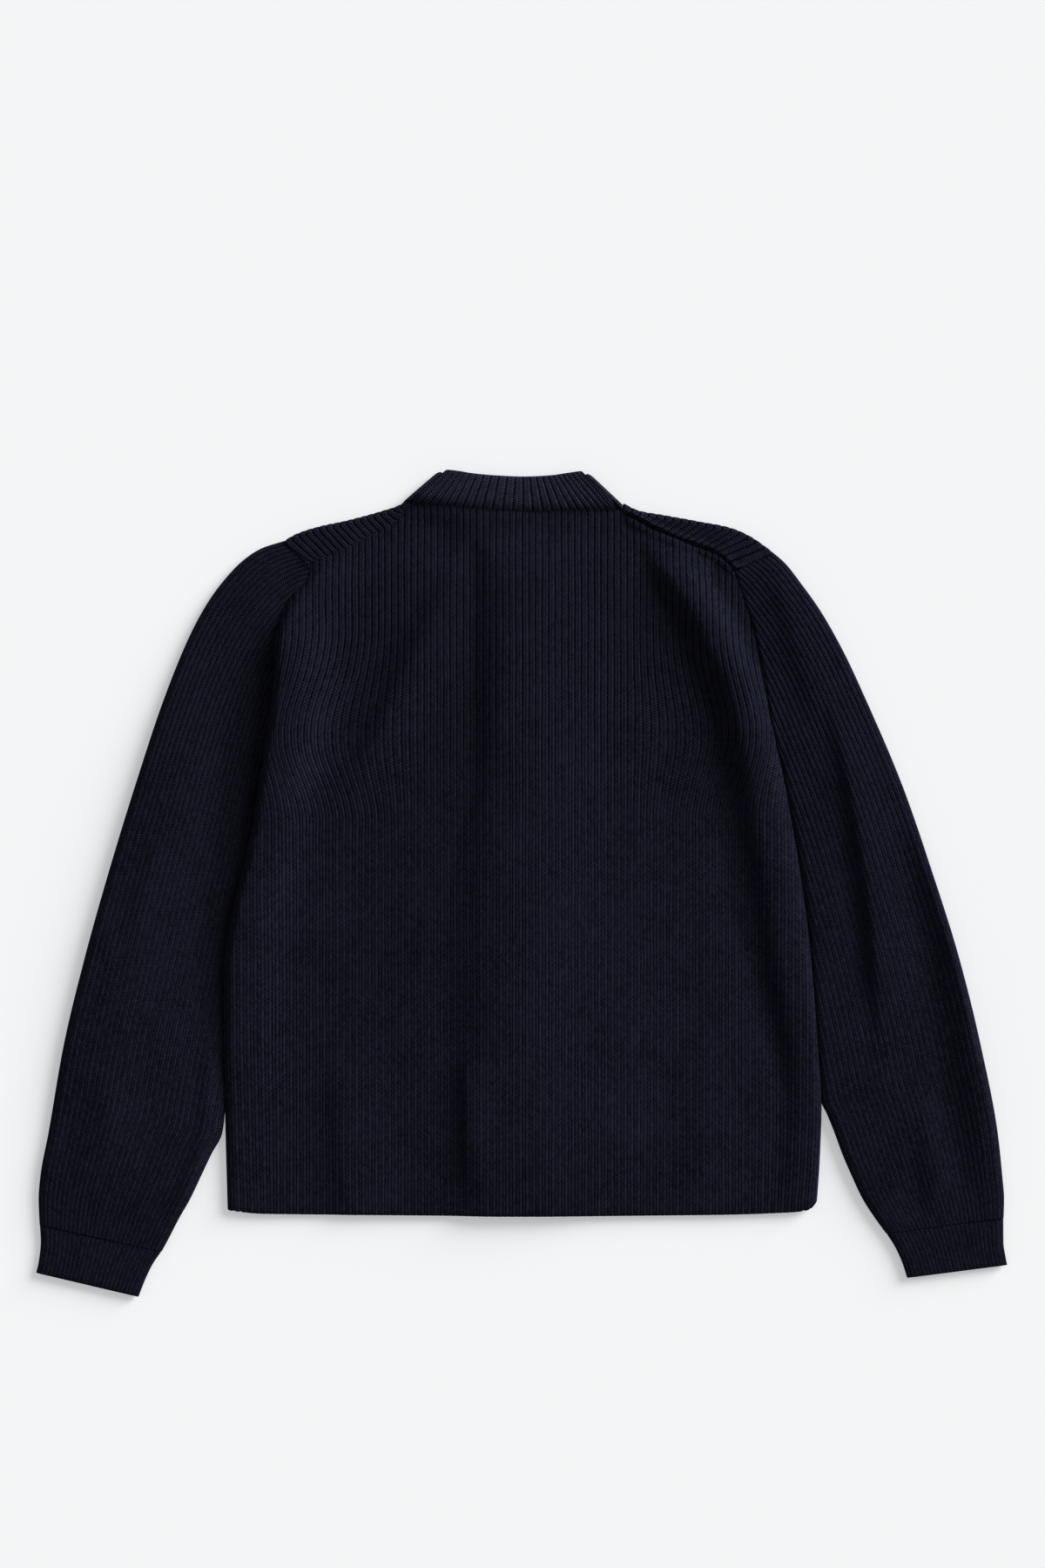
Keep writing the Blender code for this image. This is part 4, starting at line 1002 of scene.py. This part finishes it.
def cuff_net(side, u, q, rows, inside):
    """Points all round a cuff."""
    part = rows[:, None] + 0.0 * np.concatenate([u, q])
    outer = along(CUFF_OUTER[side], part)
    inner = along(CUFF_INNER[side], part)
    width = across(outer, inner)
    d = limb_columns(width, width, u / CUFF_RIBS * width[:, :len(u)], q)
    rise = RIB_RISE * (CUFF_RIB * limb_ribs(u, q, 90))
    run = CUFF_RUN * part
    level = FLAT - 0.2 * np.exp(-run / 2.0) - 1.0 * np.exp(-(CUFF_RUN - run) / 1.2)
    points = limb_net((outer, inner, width), d, lambda plan: level, rise, inside)
    knit = knit_round(d, width, width / CUFF_RIBS, run / COURSE, CUFF_CLEAR)
    return Net(points, knit, limb_keys(u, q, CUFF_RIBS), rows)


def build_cuff(side, look):
    rows = spaced((0.0, 0.8, 1.8, 3.2), 2.4, CUFF_RUN)
    outer = cuff_net(side, rib_places(CUFF_RIBS, FINE_RIB), UNDERSIDE, rows, False)
    inner = cuff_net(side, np.arange(0.0, CUFF_RIBS + 1, 1.0), UNDERSIDE, rows[::3], True)
    return closed_wall("cuff_" + side + "_knit", outer, inner, look, wrap=True)


def neck_edges(rows, parts):
    """Seam edge and free edge of the neckband at fractions along one stretch."""
    seam = [read(rows, "part", name, parts) for name in ("seam_x", "seam_y")]
    free = [read(rows, "part", name, parts) for name in ("free_x", "free_y")]
    return np.stack(seam, -1), np.stack(free, -1)


# Fractions of the neckband's height, from its seam to its free edge
NECK_WAYS = np.array([
    0.0, 0.03, 0.07, 0.14, 0.22, 0.3, 0.38, 0.46, 0.54, 0.62, 0.7, 0.78, 0.86, 0.92, 0.96, 0.985, 1.0,
])


def neck_level():
    """Height of the neckband across it: sunk at its seam, round at its free edge."""
    crown = 3.2 * np.sin(np.pi * np.minimum(NECK_WAYS / 0.5, 0.5 + (NECK_WAYS - 0.25) / 1.5))
    seam = -1.3 * np.exp(-NECK_WAYS / 0.04)
    free = -2.0 * np.exp(-(1.0 - NECK_WAYS) / 0.035)
    return NECK_TOP + crown + seam + free


def neck_column(u, outs, out_z, ins, in_z):
    """One column across the neckband, at the rib coordinate u."""
    knit = triple(u, NECK_WAYS * NECK_HIGH / COURSE)
    return triple(*outs.T, out_z), triple(*ins.T, in_z), knit


def neck_front_columns(side, parts, first, step):
    """Columns of the neckband under the back, on the table, climbing to the band."""
    columns = []
    for k, (a, b) in enumerate(zip(*neck_edges(NECK_FRONT[side], parts))):
        plan = lerp(a, b, NECK_WAYS[:, None])
        lift = front_lift(plan[:, 0], plan[:, 1], side)
        columns.append(neck_column(first + step * k, plan, lift, plan, lift + WALL))
    return columns


def neck_turn_columns(seam, free, outward, first, step):
    """Columns round the fold at one side of the neck."""
    columns = []
    plan = lerp(seam, free, lerp(-0.16, 1.0, NECK_WAYS)[:, None])
    level = neck_level()
    corner = lerp(0.3, 1.0, quarter((1.0 - NECK_WAYS) / 0.14))[:, None] * outward
    for turn in range(0, 181, 15):
        angle = math.radians(turn)
        outs = plan + corner * FOLD_REACH * math.sin(angle)
        ins = plan + corner * (FOLD_REACH - WALL) * math.sin(angle)
        out_z = 0.5 * level * (1.0 - math.cos(angle))
        in_z = 0.5 * level - 0.5 * (NECK_TOP - 2 * WALL) * math.cos(angle)
        in_z = np.clip(in_z, WALL, NECK_TOP - WALL)
        u = first + step * FOLD_REACH * angle / NECK_TURN_PITCH
        columns.append(neck_column(u, outs, out_z, ins, in_z))
    return columns


def neck_back_columns():
    """Ribbed columns of the neckband over the back of the neck."""
    columns = []
    places = rib_places(NECK_RIBS, FINE_RIB)[1:-1]
    level = neck_level()
    fade = quarter(NECK_WAYS / 0.05) * quarter((1.0 - NECK_WAYS) / 0.04)
    for u, a, b in zip(places, *neck_edges(NECK_BACK, places / NECK_RIBS)):
        plan = lerp(a, b, NECK_WAYS[:, None])
        rib = RIB_RISE * rib_profile(u % 1.0) * rib_strength(u + 200.0)
        out_z = level + rib * (0.35 + 0.65 * fade)
        columns.append(neck_column(u, plan, out_z, plan, NECK_TOP - WALL))
    return columns


def build_neckband(look):
    """The band as one row of columns: left front, left fold, back, right fold, right front."""
    front = np.linspace(1.0, 0.04, 40)
    turned = {}
    for side in ("left", "right"):
        (seam,), (free,) = neck_edges(NECK_FRONT[side], np.array([0.0]))
        along_fold = (free - seam) / np.hypot(*(free - seam))
        outward = np.array([-along_fold[1], along_fold[0]]) * INWARDS[side]
        first = -1.75 if side == "left" else NECK_RIBS + 1.75
        turned[side] = neck_turn_columns(seam, free, outward, first, INWARDS[side])
    columns = neck_front_columns("left", front, -18.0, 0.4)
    columns += turned["left"] + neck_back_columns() + turned["right"][::-1]
    columns += neck_front_columns("right", front[::-1], NECK_RIBS + 2.0, 0.4)
    outer, inner, knit = (np.concatenate(part) for part in zip(*columns))
    faces = net_faces(len(columns), len(NECK_WAYS), 0).tolist()
    return shell("neckband_knit", outer, inner, faces, knit, look)


def build_front_band(side, look):
    """A straight doubled band down the front edge. The two lie on each other."""
    low = BAND_Z[side]
    part = np.linspace(-1.0, 1.0, 15)
    x = BAND_CENTRE + BAND_HALF * part
    rows = np.linspace(0.0, 1.0, 120)
    y = lerp(height_of_line(HEM, x) + 1.0, BAND_TOP, rows[:, None])
    rim = 0.9 * np.exp(-(1.0 - np.abs(part)) * BAND_HALF / 1.2)
    knit = triple((x - BAND_CENTRE) / BAND_PITCH, y / COURSE).reshape(-1, 3)
    outer = triple(x, y, low + 0.5 * rim).reshape(-1, 3)
    inner = triple(x, y, low + WALL - 0.5 * rim).reshape(-1, 3)
    faces = net_faces(len(rows), len(part), 0).tolist()
    return shell("band_" + side + "_knit", outer, inner, faces, knit, look)


def build_button(index, look):
    """A plain round button, dished, between the outer band and the table."""
    shape = bmesh.new()
    rings = []
    for r, z in BUTTON_PROFILE:
        ring = []
        for k in range(BUTTON_SIDES):
            angle = 2 * math.pi * k / BUTTON_SIDES
            x = BAND_CENTRE + r * math.cos(angle)
            y = BUTTON_ROWS[index] + r * math.sin(angle)
            ring.append(shape.verts.new((x * MM, y * MM, z * MM)))
        rings.append(ring)
    for low, high in zip(rings, rings[1:]):
        for k in range(BUTTON_SIDES):
            after = (k + 1) % BUTTON_SIDES
            shape.faces.new((low[k], low[after], high[after], high[k]))
    shape.faces.new(rings[0])
    shape.faces.new(rings[-1])
    bmesh.ops.recalc_face_normals(shape, faces=shape.faces)
    mesh = bpy.data.meshes.new(f"button_{index + 1}_disc")
    shape.to_mesh(mesh)
    shape.free()
    mesh.materials.append(look)
    return add_object(mesh.name, mesh)


def node(tree, kind, **values):
    """Adds a node. Keys are input names with _ for spaces, or the node's own settings."""
    made = tree.nodes.new(kind)
    for key, value in values.items():
        if hasattr(made, key):
            setattr(made, key, value)
        else:
            made.inputs[key.replace("_", " ")].default_value = value
    return made


def maths(tree, kind, a, b=None, c=None):
    """Adds a Math node over sockets or numbers, and gives its result."""
    made = tree.nodes.new("ShaderNodeMath")
    made.operation = kind
    for k, value in enumerate((a, b, c)):
        if value is None:
            continue
        if isinstance(value, (int, float)):
            made.inputs[k].default_value = value
        else:
            tree.links.new(value, made.inputs[k])
    return made.outputs[0]


def ramp(tree, value, low, high):
    """0 where value is low, 1 where it is high, straight between."""
    made = tree.nodes.new("ShaderNodeMapRange")
    made.inputs["From Min"].default_value = low
    made.inputs["From Max"].default_value = high
    tree.links.new(value, made.inputs["Value"])
    return made.outputs["Result"]


def noise(tree, place, scale, detail=2.0):
    made = tree.nodes.new("ShaderNodeTexNoise")
    made.inputs["Scale"].default_value = scale
    made.inputs["Detail"].default_value = detail
    tree.links.new(place, made.inputs["Vector"])
    return made.outputs["Fac"]


def mix_colour(tree, part, a, b):
    made = tree.nodes.new("ShaderNodeMix")
    made.data_type = "RGBA"
    tree.links.new(part, made.inputs["Factor"])
    for socket, value in ((made.inputs[6], a), (made.inputs[7], b)):
        if isinstance(value, tuple):
            socket.default_value = (*value, 1.0)
        else:
            tree.links.new(value, socket)
    return made.outputs[2]


LEG_CLIMB = 2.2  # how steeply a leg of a stitch climbs outwards, in rows a rib


def stitch_pattern(tree):
    """Height of the knit, in each rib two legs that climb outwards from its middle, and
    a value from 0 to 1 that is different on every leg."""
    do = partial(maths, tree)
    knit = node(tree, "ShaderNodeAttribute", attribute_name="knit")
    parts = tree.nodes.new("ShaderNodeSeparateXYZ")
    tree.links.new(knit.outputs["Vector"], parts.inputs[0])
    rib, row, clear = parts.outputs
    middle = do("ABSOLUTE", do("SUBTRACT", do("FRACT", rib), 0.5))
    phase = do("MULTIPLY_ADD", middle, -LEG_CLIMB, row)
    wave = do("COSINE", do("MULTIPLY", phase, 2.0 * math.pi))
    wave = do("POWER", do("MULTIPLY_ADD", wave, 0.5, 0.5), 0.7)
    inside = do("MINIMUM", do("MULTIPLY_ADD", middle, -5.0, 2.5), 1.0)
    hidden = do("SUBTRACT", 1.0, clear)
    leg = do("MULTIPLY", do("POWER", inside, 0.7), clear)
    leg = do("MULTIPLY_ADD", hidden, 0.8, leg)
    parting = do("MINIMUM", do("MULTIPLY", middle, 10.0), 1.0)
    depth = do("MULTIPLY_ADD", hidden, 0.6, 0.25)
    cut = do("MULTIPLY", do("SUBTRACT", 1.0, parting), depth)
    leg = do("MULTIPLY", leg, do("SUBTRACT", 1.0, cut))
    tall = do("MULTIPLY_ADD", wave, 0.7, 0.3)
    cell = tree.nodes.new("ShaderNodeCombineXYZ")
    tree.links.new(do("FLOOR", do("MULTIPLY", rib, 2.0)), cell.inputs[0])
    tree.links.new(do("FLOOR", do("ADD", phase, 0.5)), cell.inputs[1])
    own = tree.nodes.new("ShaderNodeTexWhiteNoise")
    tree.links.new(cell.outputs[0], own.inputs["Vector"])
    return do("MULTIPLY", leg, tall), own.outputs["Value"]


def new_material(name, **values):
    """A material and its shader, whose inputs take the values. _ stands for a space."""
    made = bpy.data.materials.new(name)
    made.use_nodes = True
    shader = made.node_tree.nodes["Principled BSDF"]
    for key, value in values.items():
        shader.inputs[key.replace("_", " ")].default_value = value
    return made, shader


def knit_material(name, deep, top):
    """Brushed dark wool: stitches, short fibres, a slow change of tone and a soft sheen. Its
    colour is darker where the stitches are low: painted shade in the grooves.
    """
    made, shader = new_material(
        name, Specular_IOR_Level=0.02, Sheen_Weight=0.04, Sheen_Roughness=0.5,
        Sheen_Tint=(0.62, 0.68, 1.0, 1.0),
    )
    tree = made.node_tree
    do = partial(maths, tree)
    place = node(tree, "ShaderNodeTexCoord").outputs["Object"]
    height, own = stitch_pattern(tree)
    fibre = noise(tree, place, 2600.0, 3.0)
    fleck = noise(tree, place, 420.0, 2.0)
    slow = noise(tree, place, 30.0, 4.0)
    # the stitches' height picks the colour, darker where they are low: painted shade in the grooves
    tone = do("MULTIPLY_ADD", own, 0.42, do("MULTIPLY", height, 1.3))
    tone = do("MULTIPLY_ADD", fleck, 0.35, do("SUBTRACT", tone, 0.9))
    tone = do("MULTIPLY_ADD", fibre, 0.3, tone)
    tone = do("MULTIPLY_ADD", slow, 0.35, tone)
    colour = mix_colour(tree, ramp(tree, tone, 0.0, 0.9), deep, top)
    tree.links.new(colour, shader.inputs["Base Color"])
    tree.links.new(do("MULTIPLY_ADD", fibre, 0.16, 0.8), shader.inputs["Roughness"])
    bump = node(tree, "ShaderNodeBump", Strength=1.0, Distance=0.0022)
    tree.links.new(do("MULTIPLY_ADD", fibre, 0.35, height), bump.inputs["Height"])
    tree.links.new(bump.outputs["Normal"], shader.inputs["Normal"])
    return made


def button_material():
    made, shader = new_material("dark_horn_button", Roughness=0.32)
    tree = made.node_tree
    place = node(tree, "ShaderNodeTexCoord").outputs["Object"]
    colour = mix_colour(tree, noise(tree, place, 160.0, 4.0), *HORN_TONES)
    tree.links.new(colour, shader.inputs["Base Color"])
    return made


def floor_material():
    made, _ = new_material(
        "pale_floor", Base_Color=(FLOOR_TONE, FLOOR_TONE, FLOOR_TONE, 1.0), Roughness=0.9,
        Emission_Color=(0.985, 0.995, 1.0, 1.0), Emission_Strength=FLOOR_GLOW,
        Specular_IOR_Level=0.1,
    )
    return made


def build_floor():
    half = FLOOR_HALF * MM
    mesh = bpy.data.meshes.new("floor")
    corners = [(-half, -half, 0.0), (half, -half, 0.0), (half, half, 0.0), (-half, half, 0.0)]
    mesh.from_pydata(corners, [], [(0, 1, 2, 3)])
    mesh.materials.append(floor_material())
    floor = add_object("floor", mesh)
    floor.location.z = -FLOOR_DROP * MM


def build_stage():
    """The floor, even light from all round and one broad light."""
    build_floor()
    world = bpy.data.worlds.new("studio")
    bpy.context.scene.world = world
    world.use_nodes = True
    back = world.node_tree.nodes["Background"]
    back.inputs["Color"].default_value = (0.96, 0.98, 1.0, 1.0)
    back.inputs["Strength"].default_value = AMBIENT
    sun = bpy.data.lights.new("key", "SUN")
    sun.energy = KEY_ENERGY
    sun.angle = math.radians(KEY_SOFTNESS)
    lamp = add_object("key", sun)
    lamp.rotation_euler = (0.0, math.radians(KEY_TILT), math.radians(KEY_TURN))
    bpy.context.scene.view_settings.view_transform = "Standard"
    bpy.context.scene.view_settings.gamma = TONE_GAMMA


def build_camera():
    camera = bpy.data.cameras.new("overhead")
    camera.sensor_fit = "VERTICAL"
    camera.sensor_height = 24.0
    camera.lens = camera.sensor_height * CAMERA_ABOVE / VIEW_HIGH
    made = add_object("overhead", camera)
    made.location = (VIEW_CENTRE[0] * MM, VIEW_CENTRE[1] * MM, CAMERA_ABOVE * MM)
    bpy.context.scene.camera = made


def put(piece, node_name):
    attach(piece, "root")
    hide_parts(node_name)
    return piece


def main():
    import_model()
    build_stage()
    build_camera()
    # the same wool with paler tones: painted light on the neckband
    lit_neck_wool = knit_material("lit_navy_wool", *LIT_NECK_TONES)
    wool = knit_material("navy_rib_wool", *WOOL_TONES)
    horn = button_material()
    back = put(build_back(wool), "back")
    for side in ("left", "right"):
        front = put(build_front(side, wool), "front_" + side)
        band = put(build_front_band(side, wool), "band_" + side)
        sleeve = put(build_sleeve(side, wool), "sleeve_" + side)
        cuff = put(build_cuff(side, wool), "cuff_" + side)
    neckband = put(build_neckband(lit_neck_wool), "neckband")
    for index in range(len(BUTTON_ROWS)):
        put(build_button(index, horn), f"button_{index + 1}")


main()
